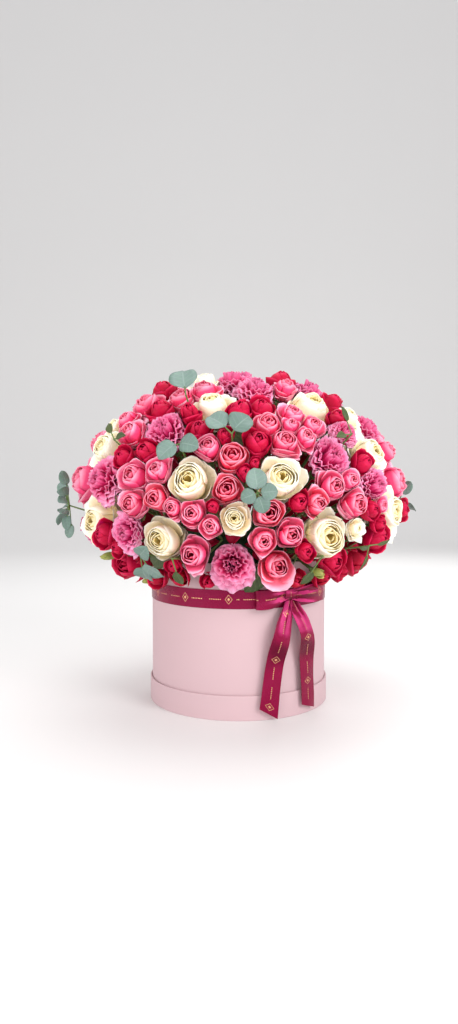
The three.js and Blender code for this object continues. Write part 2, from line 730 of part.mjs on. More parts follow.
// A flat strip through stations, each a centre and the way to the ribbon's edge
function strip(stations) {
  const last = stations.length - 1;
  const points = [];
  stations.forEach(({ centre, edge }, k) => {
    const from = stations[Math.max(k - 1, 0)].centre;
    const heading = stations[Math.min(k + 1, last)].centre.clone().sub(from).normalize();
    const face = heading.clone().cross(edge).normalize().multiplyScalar(RIBBON_THICK / 2);
    for (const [s, f] of [[-1, -1], [1, -1], [1, 1], [-1, 1]]) {
      points.push(centre.clone().addScaledVector(edge, s).addScaledVector(face, f));
    }
  });
  const end = 4 * last;
  const triangles = [[0, 2, 1], [0, 3, 2], [end, end + 1, end + 2], [end, end + 2, end + 3]];
  for (let ring = 0; ring < end; ring += 4) {
    for (let i = 0; i < 4; i++) {
      const [p, q] = [ring + i, ring + ((i + 1) % 4)];
      triangles.push([p, q, q + 4], [p, q + 4, p + 4]);
    }
  }
  return solidOf(points, triangles);
}

// A loop of the bow: out from the knot, round and back behind itself
function loopSolid(stations) {
  return strip(stations.map(([bearing, radius, z, half]) => ({
    centre: onBox(bearing, radius, z),
    edge: new THREE.Vector3(0, 0, half),
  })));
}

// A hanging tail, its last station cut on a slant
function tailSolid(stations) {
  return strip(stations.map(([bearing, radius, z, half, fall]) => ({
    centre: onBox(bearing, radius, z),
    edge: direction(bearing + 90, 0).multiplyScalar(half).setZ(-fall),
  })));
}

function bowSolid() {
  const knot = new THREE.SphereGeometry(1, KNOT_SIDES, KNOT_RINGS);
  knot.scale(KNOT_WIDE / 2, KNOT_DEEP / 2, KNOT_TALL / 2);
  knot.rotateZ(radians(KNOT_BEARING));
  const middle = onBox(KNOT_BEARING, KNOT_RADIUS, KNOT_Z);
  knot.translate(middle.x, middle.y, middle.z);
  const loops = [LEFT_LOOP, RIGHT_LOOP].map(loopSolid);
  return Manifold.union([solidOfGeometry(knot), ...loops, tailSolid(LEFT_TAIL), tailSolid(RIGHT_TAIL)]);
}

function bandGeometry() {
  const inner = BOX_RADIUS + RIBBON_PLAY;
  const outer = inner + RIBBON_THICK;
  const [low, high] = [RIBBON_MID_Z - RIBBON_WIDTH / 2, RIBBON_MID_Z + RIBBON_WIDTH / 2];
  return turned([[inner, low], [outer, low], [outer, high], [inner, high], [inner, low]]);
}

addMesh("lid", cup(LID_RADIUS, CARD, 0, CARD, LID_HEIGHT), CARD_COLOR, CARD_ROUGHNESS);
addMesh("box", cup(BOX_RADIUS, CARD, CARD + SEAT, CARD, BOX_RIM_Z), CARD_COLOR, CARD_ROUGHNESS);
const linerRimZ = BOX_RIM_Z - LINER_RIM_DROP;
addMesh("liner", cup(LINER_RADIUS, FILM, LINER_BASE_Z, FILM, linerRimZ), "#e8e8e8", 0.4);
addMesh("foam", geometryOfSolid(foamSolid()), "#3f6b48", 0.9);

addMesh("ribbon_band", bandGeometry(), RIBBON_COLOR, RIBBON_ROUGHNESS);
addMesh("ribbon_bow", geometryOfSolid(bowSolid()), RIBBON_COLOR, RIBBON_ROUGHNESS);

const counts = {};
function addPlant(kind, solid, color) {
  counts[kind] = (counts[kind] ?? 0) + 1;
  addMesh(`${kind}_${counts[kind]}`, geometryOfSolid(solid), color, PLANT_ROUGHNESS);
}
sprays.forEach((spray) => addPlant(spray.kind, spraySolid(spray), KINDS[spray.kind].color));
sprigs.forEach((sprig) => addPlant(sprig.kind, sprigSolid(sprig), LEAF_KINDS[sprig.kind].color));

export default hatBox;
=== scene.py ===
import math
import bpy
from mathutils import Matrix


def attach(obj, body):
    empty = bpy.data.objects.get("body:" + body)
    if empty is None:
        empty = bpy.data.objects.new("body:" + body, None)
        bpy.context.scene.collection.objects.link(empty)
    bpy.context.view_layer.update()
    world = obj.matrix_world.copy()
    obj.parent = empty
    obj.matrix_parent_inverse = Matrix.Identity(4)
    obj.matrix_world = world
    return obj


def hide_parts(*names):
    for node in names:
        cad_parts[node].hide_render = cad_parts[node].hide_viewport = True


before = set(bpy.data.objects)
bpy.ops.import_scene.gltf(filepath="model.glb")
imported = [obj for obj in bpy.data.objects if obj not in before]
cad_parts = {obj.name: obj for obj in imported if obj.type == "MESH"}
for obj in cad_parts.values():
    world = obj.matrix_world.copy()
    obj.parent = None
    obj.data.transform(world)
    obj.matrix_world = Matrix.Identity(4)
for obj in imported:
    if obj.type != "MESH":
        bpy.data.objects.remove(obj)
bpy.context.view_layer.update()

from types import SimpleNamespace

import bmesh
import bpy
import numpy as np
from mathutils import Vector

bl_info = {
    "name": "Flower hat box",
    "version": (1, 0, 0),
    "blender": (4, 5, 0),
    "location": "3D View > Sidebar > Hat box",
    "description": "Builds a card hat box with a ribbon bow and a dome of roses, carnations and leaves",
    "category": "Add Mesh",
}

BODY = "root"
MM = 0.001

# The plan of the dome, in millimetres and degrees, as the part has it
BOX_RADIUS = 125
BOX_RIM_Z = 206
CARD = 2.5
LID_RADIUS = 128
LID_HEIGHT = 33
SEAT = 0.3
FILM = 0.8
RIBBON_WIDTH = 25
FOAM_RADIUS = BOX_RADIUS - CARD - FILM - 2 * SEAT
FOAM_SHOULDER_Z = 222
FOAM_SHOULDER_IN = 6
FOAM_TOP_Z = 255
STEM_HEART = np.array([0.0, 0.0, 200.0])
BELT_Z = 285
DOME_SPREAD = 238
DOME_RISE = 183
DOME_DROP = 140
HEAD_GROWTH = 1.38
LOW_GROWTH = 1.25
MOST_RADIUS = 40
HEAD_DEPTH = 0.9
FACE_LEAN = 0.6
HEAD_GAP = 0.2
LOW_HEAD = 16
BOX_CLEARANCE = 5
LOW_HEAD_OUT = 0.6
SETTLE_ROUNDS = 40
SETTLE_SHARE = 0.66
BACK_SHARE = 0.85
BACK_SMALLEST = 32
BACK_GROWTH = 1.7
STEM_RADIUS = 2
BRANCH_RADIUS = 1.5
STEM_DEPTH = 22
NECK_FREE = 4
LOWEST_STEM = 5.3
RIM_REACH = 135
FOAM_STEP = 0.5
BOWS = (0, 3, -3, 6, -6, 9, -9, 12, -12)
BRANCH_CHECKS = 24
BRANCH_RISE = 5
BRANCH_STEP = 0.4
SPRIG_WIDTH = 5
SPRIG_CLEARANCE = 2.4
LEAF_LIFT = 8
TWIG_END = 0.6
STALK_LEAST = 4
NECK_LEVEL = 0.56

# How the petals grow past the part's solid heads to close the gaps between them
PETAL_NEIGHBOURS = 4
PETAL_OVERLAP = 1.46
PETAL_LEAST = 1.2
PETAL_MOST = 1.6
PETAL_MOST_RADIUS = {"garden_rose": 50, "spray_rose": 42, "rose_bud": 36, "carnation": 37, "green_bud": 20}

# Heads that grow more or less than the rest, by bearing and height
HEAD_ROOM = {
    (31, 14): 1.18, (41, 15): 0.84, (-27, 12): 1.08, (-16, 29): 1.05, (13, 30): 1.05, (41, 55): 1.15,
    (-60, 38): 1.15, (-14, 54): 1.12, (-62, 17): 1.12, (-4, 5): 0.93,
}

# How far a head at the side of the front turns to the front, and the heads that differ
FRONT_TURN = 0.38
FRONT_EDGE = 0.5
FRONT_FADE = 1.6
HEAD_TURN = {(-72, 0): 0.9, (88, 1): 0.7, (77, 18): 0.7, (-62, 17): 0.5}

# How heads that face down are lifted, and how petals give way to a neighbour's
LEAST_FACING = 0.12
FACING_LIFT = 0.75
LEAST_ROOM = 1
FREE_SHARE = 0.72

# The search for gaps between the heads, and how large the fillers in them are
INNER_PETALS = 170
GAP_TRIALS = 2400
GAP_COVER = 0.9
GAP_LOWEST = -6
FILLER_LEAST = 9.5
FILLER_MOST = 21
FILLER_SPACING = 1.16
FILLER_BUD = 13
FILLER_TUCK = 0.85
FILLER_GROWTH = 1.1
LOW_FILLER = 9
GOLDEN_TURN = 2.39996

# What stands in the gaps: reaches as shares of the dome's, lengths in millimetres
FILLER_TOP = 0.93
LEAF_REACH = 0.8
INNER_REACH = 0.66
BUD_REACH = 0.84
LOW_LEAF_REACH = 0.78
LOW_BUD_REACH = 0.92
LOW_LEAF_CLEARANCE = 14
LOW_BUD_CLEARANCE = 16
FILLER_LENGTH = 40
FILLER_BREADTH = 0.6
LEAF_CURL = 0.25
INNER_CURL = 0.8
TWIG = (0.9, 0.7)
BUD_TWIG = (0.9, 0.9, 1.8)
TWIG_OVERLAP = 1.5

# Sepals, as shares of the head's radius, and the swollen ends of the stems
SEPAL_SPREAD = 1.15
SEPAL_LENGTH = 0.75
SEPAL_WIDTH = 0.24
SEPAL_CURL = -0.35
STEM_SWELL = 1.35
SWELL_BY_RADIUS = 0.035

# How fine the card tubs and the ribbon are, and the middle of the ribbon's band, in millimetres
AXIS_GAP = 0.01
TUB_SIDES = 144
RIBBON_CELLS = 10
BAND_SIDES = 180
BAND_Z = 159.2

# By kind: depth of the neck, least opening, room that petals claim, distance of the branches' shell
HEAD_BACK = {"garden_rose": 0.62, "spray_rose": 0.62, "rose_bud": 0.66, "carnation": 0.66, "green_bud": 0.8}
LEAST_OPEN = {"garden_rose": 0.5, "spray_rose": 0.35, "rose_bud": 0.0, "carnation": 0.5, "green_bud": 0.0}
PETAL_CLAIM = {"garden_rose": 1.12, "spray_rose": 1.0, "rose_bud": 0.9, "carnation": 1.06, "green_bud": 1.0}
SHELL = {"garden_rose": 146, "spray_rose": 138, "rose_bud": 130, "carnation": 154, "green_bud": 132}

# Heads: bearing, height and the width that shows
SPRAYS = {
    "carnation": [
        [(-9, 76, 49), (12, 65, 50), (92, 88, 46)],
        [(76, 45, 47), (68, 66, 45), (97, 57, 50), (92, 14, 54)],
        [(31, 35, 56), (42, 43, 30), (49, 26, 38)],
        [(-4, 5, 61)],
        [(-30, 44, 52), (-52, 28, 43), (-40, 14, 42)],
    ],
    "garden_rose": [
        [(-14, 54, 50), (-34, 72, 30)],
        [(41, 55, 60), (59, 50, 32), (56, 36, 47), (65, 19, 45), (96, 73, 46)],
        [(13, 30, 54), (31, 14, 59), (41, 15, 31)],
        [(-16, 29, 55), (-27, 12, 56), (-2, 17, 33)],
        [(-62, 17, 58), (-60, 38, 42), (-63, 44, 27)],
    ],
    "spray_rose": [
        [(-32, 57, 34), (-23, 62, 34), (-55, 55, 40), (-55, 47, 28), (-44, 41, 25), (-79, 28, 48)],
        [(21, 47, 31), (31, 62, 26), (20, 41, 22), (26, 38, 27), (29, 41, 29), (11, 43, 33), (15, 37, 33)],
        [(-26, 30, 30), (-36, 30, 38), (-36, 21, 34), (-26, 22, 32), (-20, 20, 23)],
        [(-3, 34, 36), (-11, 35, 31), (-4, 25, 33), (-15, 19, 30), (-9, 15, 27), (-17, 8, 40)],
        [(8, 18, 34), (6, 12, 33), (16, 13, 37), (16, 4, 41)],
        [(30, 28, 34), (26, 23, 31), (37, 21, 35), (35, 25, 24), (51, 20, 19)],
        [(78, 28, 47), (77, 37, 36), (93, 42, 42)],
    ],
    "rose_bud": [
        [(0, 49, 27), (9, 50, 30), (6, 38, 32), (-7, 38, 18), (-14, 41, 24)],
        [(-36, 50, 31), (-23, 48, 23), (-59, 63, 23), (-33, 36, 29), (-41, 33, 21)],
        [(-53, 12, 27), (-47, 8, 18), (-72, 0, 39), (-25, 3, 15)],
        [(2, 29, 19), (5, 30, 14), (-8, 20, 15), (17, 23, 23), (22, 8, 24), (39, 4, 30)],
        [(42, 47, 22), (49, 55, 24), (42, 71, 23), (45, 32, 26), (45, 19, 24), (51, 15, 18),
         (56, 11, 27), (77, 18, 21), (88, 1, 36)],
    ],
    "green_bud": [
        [(-61, 4, 13), (-59, -9, 13)],
        [(34, -1, 13)],
    ],
}

# Sprigs: the stem's bearing and height, the leaves' bearing, height, length, width and how far the tip
# stands off the dome, and whether the back has one too
SPRIGS = {
    "eucalyptus": [
        ((-24, 53), [(-28, 58, 31, 33, 30)], False),
        ((-5.1, 38), [(-7.6, 40.9, 25, 27, 8), (-1.6, 38.9, 25, 28, 8)], False),
        ((-17.3, 31.7), [(-20.2, 33.9, 24, 25, 8), (-15.7, 34.3, 22, 22, 8)], False),
        ((4.5, 22.4), [(4, 25.5, 23, 22, 8), (2.1, 21.4, 16, 17, 8), (7.4, 22.4, 18, 18, 8),
                       (5.5, 19.3, 18, 18, 8)],
         False),
        ((-82, 18), [(-85, 23, 22, 15, 35), (-77, 22, 20, 14, 20), (-88, 17, 22, 15, 45),
                     (-79, 13, 20, 14, 20)], True),
        ((-34, 6), [(-31, 1, 28, 26, 8), (-37, -1, 27, 25, 8)], False),
    ],
    "rose_leaf": [
        ((38, 39), [(39, 44, 22, 12, 25), (33, 37, 20, 11, 12)], False),
        ((46, 8), [(41, 8, 24, 7, 14), (47, 3, 24, 7, 14), (51, 9, 22, 7, 14)], False),
        ((-46, 37), [(-41, 37, 20, 11, 14), (-50, 40, 20, 11, 14)], False),
        ((-21, 6), [(-22, -1, 24, 15, 14)], False),
        ((27, 6), [(24, -1, 24, 15, 14)], False),
    ],
}

# Small leaves that the scene adds to a sprig
MORE_LEAVES = {
    (-82, 18): [(-86, 14, 24, 14, 55), (-80, 26, 20, 13, 35), (-89, 22, 20, 12, 60), (-84, 19, 18, 16, 30),
                (-77, 16, 18, 13, 25), (-86, 10, 22, 12, 45)],
    (-34, 6): [(-33, 6, 22, 20, 10)],
}

# Sprigs whose leaves are turned on their stalks, in degrees, every second one the other way
LEAF_ROLL = {(-82, 18): 68, (98, 18): 50}

# Heads that differ from the rest of their kind, by bearing and height: how warm their colour is and how
# far they are open, from 0 to 1
HEAD_LOOKS = {
    (-3, 34): (1.0, 1.0), (-4, 25): (1.0, 0.9), (-26, 22): (0.85, 0.7), (8, 18): (0.9, 0.8),
    (26, 23): (0.75, 0.3),
    (16, 4): (0.7, 0.5), (13, 13): (0.4, 0.4), (6, 12): (0.4, 0.35), (41, 15): (0.6, 0.2),
    (-2, 17): (1.0, 1.0), (-62, 17): (0.8, 0.4), (-27, 12): (0.55, 0.7), (31, 14): (0.3, 0.9),
    (-16, 29): (0.2, 0.8), (13, 30): (0.2, 0.7),
    (-14, 54): (0.1, 0.3), (41, 55): (0.4, 0.3), (-55, 47): (0.1, 0.3), (-79, 28): (0.1, 0.5),
    (78, 28): (0.15, 0.5), (31, 62): (0.2, 0.4), (-23, 62): (0.2, 0.4), (-36, 30): (0.0, 0.4),
    (-17, 8): (0.0, 0.5), (-26, 30): (0.1, 0.2), (-72, 0): (0.1, 0.8), (88, 1): (0.8, 0.6),
}


# Properties
def hue(name, description, value):
    return bpy.props.FloatVectorProperty(
        name=name, description=description, subtype="COLOR", size=3, min=0, max=1, default=value)


def size(name, description, value):
    return bpy.props.FloatProperty(
        name=name, description=description, unit="LENGTH", subtype="DISTANCE", default=value, min=0,
        precision=4)


def share(name, description, value):
    return bpy.props.FloatProperty(
        name=name, description=description, subtype="FACTOR", default=value, min=-2, max=8)


def number(name, description, value):
    return bpy.props.IntProperty(name=name, description=description, default=value, min=1)


class HatBoxSizes(bpy.types.PropertyGroup):
    """Sizes of the box's and the plants' finish"""
    petal: size("Petal thickness", "Thickness of every petal", 0.0007)
    leaf: size("Leaf thickness", "Thickness of every leaf", 0.0007)
    ribbon: size("Ribbon thickness", "Thickness of the satin ribbon", 0.0006)
    rim: size("Rim rounding", "Radius of the paper turned over the card's rims", 0.0009)
    motif: size("Motif spacing", "Distance between two lozenges printed on the ribbon", 0.062)


class HatBoxColors(bpy.types.PropertyGroup):
    """Colours of the box and the plants"""
    card: hue("Card", "Paper that covers the box and its lid", (0.59, 0.412, 0.436))
    ribbon: hue("Ribbon", "Satin ribbon", (0.2, 0.002, 0.03))
    # Lit satin and shaded satin are painted light: the ribbon's painted highlight and its painted shade.
    satin_lit: hue("Lit satin", "Satin that turns up to the light", (0.62, 0.045, 0.2))
    satin_shaded: hue("Shaded satin", "Satin in a fold that turns down", (0.09, 0.001, 0.012))
    print: hue("Print", "Foil print on the ribbon", (0.72, 0.38, 0.2))
    stem: hue("Stem", "Stems and calyxes", (0.11, 0.19, 0.05))
    foam: hue("Foam", "Wet flower foam", (0.03, 0.09, 0.04))
    film: hue("Film", "Waterproof film round the foam", (0.8, 0.82, 0.8))
    floor: hue("Floor", "Floor and backdrop", (0.82, 0.81, 0.80))


# What makes up the shape of a head: the kind of property, its name and its meaning
BLOOM_FIELDS = {
    "petals": (number, "Petals", "Petals of one head"),
    "across": (number, "Points across", "Points across a petal"),
    "along": (number, "Points along", "Points from a petal's foot to its tip"),
    "core": (share, "Heart share", "Share of the petals that close over the heart"),
    "globe": (share, "Heart size", "Radius of the heart, as a share of the head's"),
    "opening": (share, "Heart opening", "Radius of the opening of a wide open heart"),
    "dome": (share, "Doming", "How far the heart's outer rims lie below its inner ones"),
    "wrap": (share, "Heart wrap", "Half the angle that a heart petal wraps round, in radians"),
    "width": (share, "Petal width", "Half the angle of an outer petal, in radians"),
    "hug": (share, "Hug", "Distance of the outer petals from the heart's side"),
    "throat": (share, "Throat", "Height at which the outer petals turn outwards"),
    "spread": (share, "Spread", "Rim radius of the outermost petal, as a share of the head's"),
    "rise": (share, "Heart rise", "Height of the heart petals' rims"),
    "fall": (share, "Outer rise", "Height of the outermost petals' rims"),
    "lip": (share, "Lip", "How far the outer petals' rims roll outwards"),
    "round": (share, "Rounding", "How far a petal's corners lie below the middle of its rim"),
    "point": (share, "Point", "How pointed the middle of an outer petal's rim is"),
    "wave": (share, "Wave", "Height of the waves of a petal's rim"),
    "waves": (share, "Waves", "Waves along half a rim"),
    "fringe": (share, "Fringe", "Depth of the teeth along a rim"),
}
BLOOMS = {
    "garden_rose": dict(
        petals=32, across=7, along=8, core=0.6, globe=0.42, opening=0.42, dome=0.06, wrap=1.1, width=0.74,
        hug=0.16, throat=0.1, spread=1.26, rise=0.62, fall=0.0, lip=0.24, round=0.14, point=0.4, wave=0.03,
        waves=1.3, fringe=0.0),
    "spray_rose": dict(
        petals=22, across=7, along=8, core=0.6, globe=0.5, opening=0.52, dome=0.1, wrap=1.1, width=0.86,
        hug=0.18, throat=0.08, spread=1.18, rise=0.76, fall=0.1, lip=0.16, round=0.18, point=0.06,
        wave=0.035, waves=1.5, fringe=0.0),
    "rose_bud": dict(
        petals=12, across=6, along=7, core=0.7, globe=0.64, opening=0.4, dome=0.1, wrap=1.3, width=1.0,
        hug=0.3, throat=0.05, spread=0.86, rise=0.86, fall=0.5, lip=0.08, round=0.22, point=0.08, wave=0.02,
        waves=1.0, fringe=0.0),
    "carnation": dict(
        petals=38, across=12, along=6, core=0.2, globe=0.24, opening=0.3, dome=0.0, wrap=0.9, width=0.62,
        hug=0.12, throat=0.5, spread=1.1, rise=0.86, fall=0.16, lip=0.1, round=0.12, point=0.0, wave=0.12,
        waves=2.9, fringe=0.04),
    "green_bud": dict(
        petals=6, across=6, along=7, core=0.6, globe=0.42, opening=0.1, dome=0.1, wrap=1.4, width=1.1,
        hug=0.1, throat=0.1, spread=0.3, rise=1.5, fall=1.3, lip=0.02, round=0.2, point=0.35, wave=0.0,
        waves=1.0, fringe=0.0),
}


def bloom_shape(kind, values):
    """A property group with the shape of one kind of head."""
    fields = {key: make(name, meaning, values[key]) for key, (make, name, meaning) in BLOOM_FIELDS.items()}
    name = kind.title().replace("_", "") + "Shape"
    doc = "Shape of each " + kind.replace("_", " ")
    return type(name, (bpy.types.PropertyGroup,), {"__doc__": doc, "__annotations__": fields})


BLOOM_SHAPES = {kind: bloom_shape(kind, values) for kind, values in BLOOMS.items()}


# The plan, worked out as the part does it
def direction(bearing, height):
    level = math.cos(math.radians(height))
    b = math.radians(bearing)
    return np.array([level * math.sin(b), -level * math.cos(b), math.sin(math.radians(height))])


def unit(v):
    return v / np.linalg.norm(v)


def between(a, b):
    return math.acos(min(1, max(-1, float(a @ b))))


def bearing_of(d):
    return math.degrees(math.atan2(d[0], -d[1]))


def height_of(d):
    return math.degrees(math.asin(d[2]))


def along(d, reach):
    return STEM_HEART + d * reach


def dome_reach(d, inset):
    spread = DOME_SPREAD - inset
    fall = STEM_HEART[2] - BELT_Z

    def reach_of(height):
        a = (d[0] ** 2 + d[1] ** 2) / spread ** 2 + d[2] ** 2 / height ** 2
        b = 2 * d[2] * fall / height ** 2
        c = fall ** 2 / height ** 2 - 1
        return (-b + math.sqrt(b * b - 4 * a * c)) / (2 * a)

    above = reach_of(DOME_RISE - inset)
    return above if fall + d[2] * above >= 0 else reach_of(DOME_DROP - inset)


def dome_normal(point, inset):
    rise = point[2] - BELT_Z
    height = (DOME_RISE if rise > 0 else DOME_DROP) - inset
    spread = DOME_SPREAD - inset
    return unit(np.array([point[0] / spread ** 2, point[1] / spread ** 2, rise / height ** 2]))


def on_dome(d, inset):
    return along(d, dome_reach(d, inset))


def make_place(kind, bearing, height, width, growth):
    grown = width / 2 * (min(growth, LOW_GROWTH) if height < LOW_HEAD else growth)
    place = SimpleNamespace(kind=kind, width=width, d=direction(bearing, height))
    place.radius = min(grown, MOST_RADIUS)
    place.span = math.atan(place.radius / dome_reach(place.d, HEAD_DEPTH * place.radius))
    place.claim = place.span
    place.is_sprig = place.is_back = False
    place.seen_at = (bearing, height)
    return place


def settle(places):
    """Heads press each other aside until none is squeezed too far, a small one giving way more."""
    count = len(places)
    ds = [tuple(float(x) for x in p.d) for p in places]
    need = [[(BACK_SHARE if a.is_back and b.is_back else SETTLE_SHARE) * (a.span + b.span) for b in places]
            for a in places]
    near = [[math.cos(x) for x in row] for row in need]
    for _ in range(SETTLE_ROUNDS):
        for i in range(count):
            for j in range(i + 1, count):
                a, b = ds[i], ds[j]
                dot = a[0] * b[0] + a[1] * b[1] + a[2] * b[2]
                if dot <= near[i][j]:
                    continue
                lack = need[i][j] - math.acos(min(1, dot))
                gap = math.dist(a, b)
                away = [(x - y) / gap for x, y in zip(a, b)]
                ra, rb = places[i].radius ** 2, places[j].radius ** 2
                shift_a, shift_b = lack * rb / (ra + rb), lack * ra / (ra + rb)
                moved_a = [x + w * shift_a for x, w in zip(a, away)]
                moved_b = [x - w * shift_b for x, w in zip(b, away)]
                long_a, long_b = math.hypot(*moved_a), math.hypot(*moved_b)
                ds[i] = tuple(x / long_a for x in moved_a)
                ds[j] = tuple(x / long_b for x in moved_b)
    for place, d in zip(places, ds):
        place.d = np.array(d)


def lines_of(place, places, extent):
    """The planes to its neighbours that a head keeps to one side of: each one's normal and the gap kept."""
    lines = []
    for other in places:
        own, theirs = getattr(place, extent), getattr(other, extent)
        if other is place or between(other.d, place.d) >= own + theirs:
            continue
        if other.is_sprig:
            lines.append((unit(place.d - other.d * float(place.d @ other.d)), SPRIG_CLEARANCE))
            continue
        border = unit(place.d + (other.d - place.d) * own / (own + theirs))
        normal = place.d - other.d
        lines.append((unit(normal - border * float(normal @ border)), HEAD_GAP))
    return lines


def fit(place, places):
    """Gives a settled place its middle, its facing and the lines that it keeps to one side of."""
    inset = HEAD_DEPTH * place.radius
    off_box = BOX_RADIUS + BOX_CLEARANCE + LOW_HEAD_OUT * place.radius
    is_low = height_of(place.d) < LOW_HEAD
    reach = dome_reach(place.d, inset)
    if is_low:
        reach = max(reach, off_box / math.hypot(place.d[0], place.d[1]))
    place.middle = along(place.d, reach)
    place.facing = unit(place.d + (dome_normal(place.middle, inset) - place.d) * FACE_LEAN)
    place.side = unit(np.cross([0, 0, 1], place.facing))
    place.lines = lines_of(place, places, "span")
    if is_low:
        place.lines.append((direction(bearing_of(place.d), 0), BOX_RADIUS + BOX_CLEARANCE))


def plant():
    """Every spray and sprig of the dome, front and back, with its places settled."""
    places, sprays, sprigs = [], [], []
    for turn in (0, 180):
        for kind, rows in SPRIGS.items():
            for (bearing, height), leaves, at_back in rows:
                if turn and not at_back:
                    continue
                place = make_place(kind, bearing + turn, height, SPRIG_WIDTH, 1)
                place.is_sprig = True
                places.append(place)
                sprigs.append(SimpleNamespace(
                    kind=kind, place=place, leaves=[(leaf[0] + turn, *leaf[1:]) for leaf in leaves]))
        for kind, rows in SPRAYS.items():
            for heads in rows:
                growth = BACK_GROWTH if turn else HEAD_GROWTH
                made = [make_place(kind, b + turn, h, w, growth) for b, h, w in heads]
                for place in made:
                    place.is_back = turn != 0
                if turn:
                    made = [p for p in made if p.width >= BACK_SMALLEST and all(
                        between(o.d, p.d) > SETTLE_SHARE * (o.span + p.span) for o in places)]
                if made:
                    places.extend(made)
                    sprays.append(SimpleNamespace(kind=kind, places=made))
    settle(places)
    for place in places:
        fit(place, places)
    fill(places)
    counts = {}
    for row in sprays + sprigs:
        counts[row.kind] = counts.get(row.kind, 0) + 1
        row.name = f"{row.kind}_{counts[row.kind]}"
    return sprays, sprigs


def fill(places):
    """Petals reach out until they meet the neighbours', and each pair of heads shares one border plane."""
    heads = [p for p in places if not p.is_sprig]
    for place in heads:
        ratios = sorted(between(o.d, place.d) / (o.span + place.span) for o in heads if o is not place)
        room = sum(ratios[:PETAL_NEIGHBOURS]) / PETAL_NEIGHBOURS
        growth = min(PETAL_MOST, max(PETAL_LEAST, room * PETAL_OVERLAP))
        full = min(place.radius * growth, PETAL_MOST_RADIUS[place.kind])
        place.bloom = full * HEAD_ROOM.get(place.seen_at, 1)
        place.reach = place.span * place.bloom / place.radius
        place.claim = place.reach * PETAL_CLAIM[place.kind]
        lift = max(0, LEAST_FACING - place.facing[2]) * FACING_LIFT
        at_front = min(1, max(0, FRONT_EDGE - place.d[1] * FRONT_FADE))
        turn = HEAD_TURN.get(place.seen_at, FRONT_TURN) * abs(place.facing[0]) * at_front
        place.facing = unit(place.facing + [0, -turn, lift])
        place.side = unit(np.cross([0, 0, 1], place.facing))
        place.borders = place.lines[-1:] if height_of(place.d) < LOW_HEAD else []
    for place in heads:
        place.borders.extend(lines_of(place, places, "claim"))


def foam_top_z(radius):
    shoulder = FOAM_RADIUS - FOAM_SHOULDER_IN
    if radius > shoulder:
        return FOAM_SHOULDER_Z - (radius - shoulder) / FOAM_SHOULDER_IN * (FOAM_SHOULDER_Z - BOX_RIM_Z)
    return FOAM_TOP_Z - (FOAM_TOP_Z - FOAM_SHOULDER_Z) * (radius / shoulder) ** 2


def foam_reach(d):
    level = math.hypot(d[0], d[1])
    reach = 0
    while reach * level < FOAM_RADIUS and STEM_HEART[2] + reach * d[2] < foam_top_z(reach * level):
        reach += FOAM_STEP
    return reach


def stem_direction(d):
    return direction(bearing_of(d), LOWEST_STEM) if height_of(d) < LOWEST_STEM else d


def main_stem_path(d):
    raised = stem_direction(d)
    foot = along(raised, foam_reach(raised) - STEM_DEPTH)
    return [foot] if raised is d else [foot, along(raised, RIM_REACH)]


def side_branch_path(start, end, shell, rise, spokes):
    """Path to a head from another stem of its spray, bowed as far as it takes to clear the stems there."""
    clearance = STEM_RADIUS + BRANCH_RADIUS
    knee, joint = along(start, shell), along(end, shell + rise)
    sideways = unit(np.cross(start, end))
    middle = unit(start + end)
    steps = np.linspace(0, 1, BRANCH_CHECKS + 1)[:, None]
    for bow in BOWS:
        path = [knee, joint]
        if bow:
            path.insert(1, along(unit(middle + sideways * math.tan(math.radians(bow))), shell))
        samples = np.concatenate([p + (q - p) * steps for p, q in zip(path, path[1:])]) - STEM_HEART
        off = samples[:, None, :] - (samples @ spokes.T)[:, :, None] * spokes[None, :, :]
        if np.linalg.norm(off, axis=2).min() > clearance:
            return path[::-1]
    raise RuntimeError("no clear way for a branch")


def stem_paths(spray, sprays, sprigs):
    """For each head of a spray, the path of its stem and the stem's radius."""
    shell = SHELL[spray.kind]
    spokes = [stem_direction(p.d) for other in sprays if other is not spray
              for i, p in enumerate(other.places) if i == 0 or SHELL[other.kind] < shell]
    spokes = np.array(spokes + [stem_direction(sprig.place.d) for sprig in sprigs])
    paths = []
    for i, place in enumerate(spray.places):
        if i == 0:
            paths.append((main_stem_path(place.d), STEM_RADIUS))
            continue
        d = stem_direction(place.d)
        nearest = min((stem_direction(p.d) for p in spray.places[:i]), key=lambda other: between(other, d))
        rise = BRANCH_RISE + BRANCH_STEP * i
        paths.append((side_branch_path(d, nearest, shell, rise, spokes), BRANCH_RADIUS))
    return paths


# Node trees
class Field:
    """A socket of a node tree that takes part in sums."""

    def __init__(self, graph, socket):
        self.graph = graph
        self.socket = socket

    def clamped(self):
        """The same sum, held between 0 and 1."""
        self.socket.node.use_clamp = True
        return self

    def other(self, name):
        """Another output of the same node."""
        return Field(self.graph, self.socket.node.outputs[name])

    def of(self, operation, *values):
        """What a math node makes of this field, and of other values if it takes them."""
        return self.graph.math(operation, self, *values)


def sum_method(operation, is_swapped):
    """A method that adds a math node for two fields, or for a field and a number."""
    def method(self, other):
        pair = (other, self) if is_swapped else (self, other)
        return self.graph.math(operation, *pair)
    return method


for word, operation in (
        ("add", "ADD"), ("sub", "SUBTRACT"), ("mul", "MULTIPLY"), ("truediv", "DIVIDE"), ("pow", "POWER")):
    setattr(Field, f"__{word}__", sum_method(operation, False))
    setattr(Field, f"__r{word}__", sum_method(operation, True))


def socket_of(node, name):
    """A node's input by its name, with _ for a space."""
    return next(s for s in node.inputs if s.enabled and s.name.replace(" ", "_") == name)


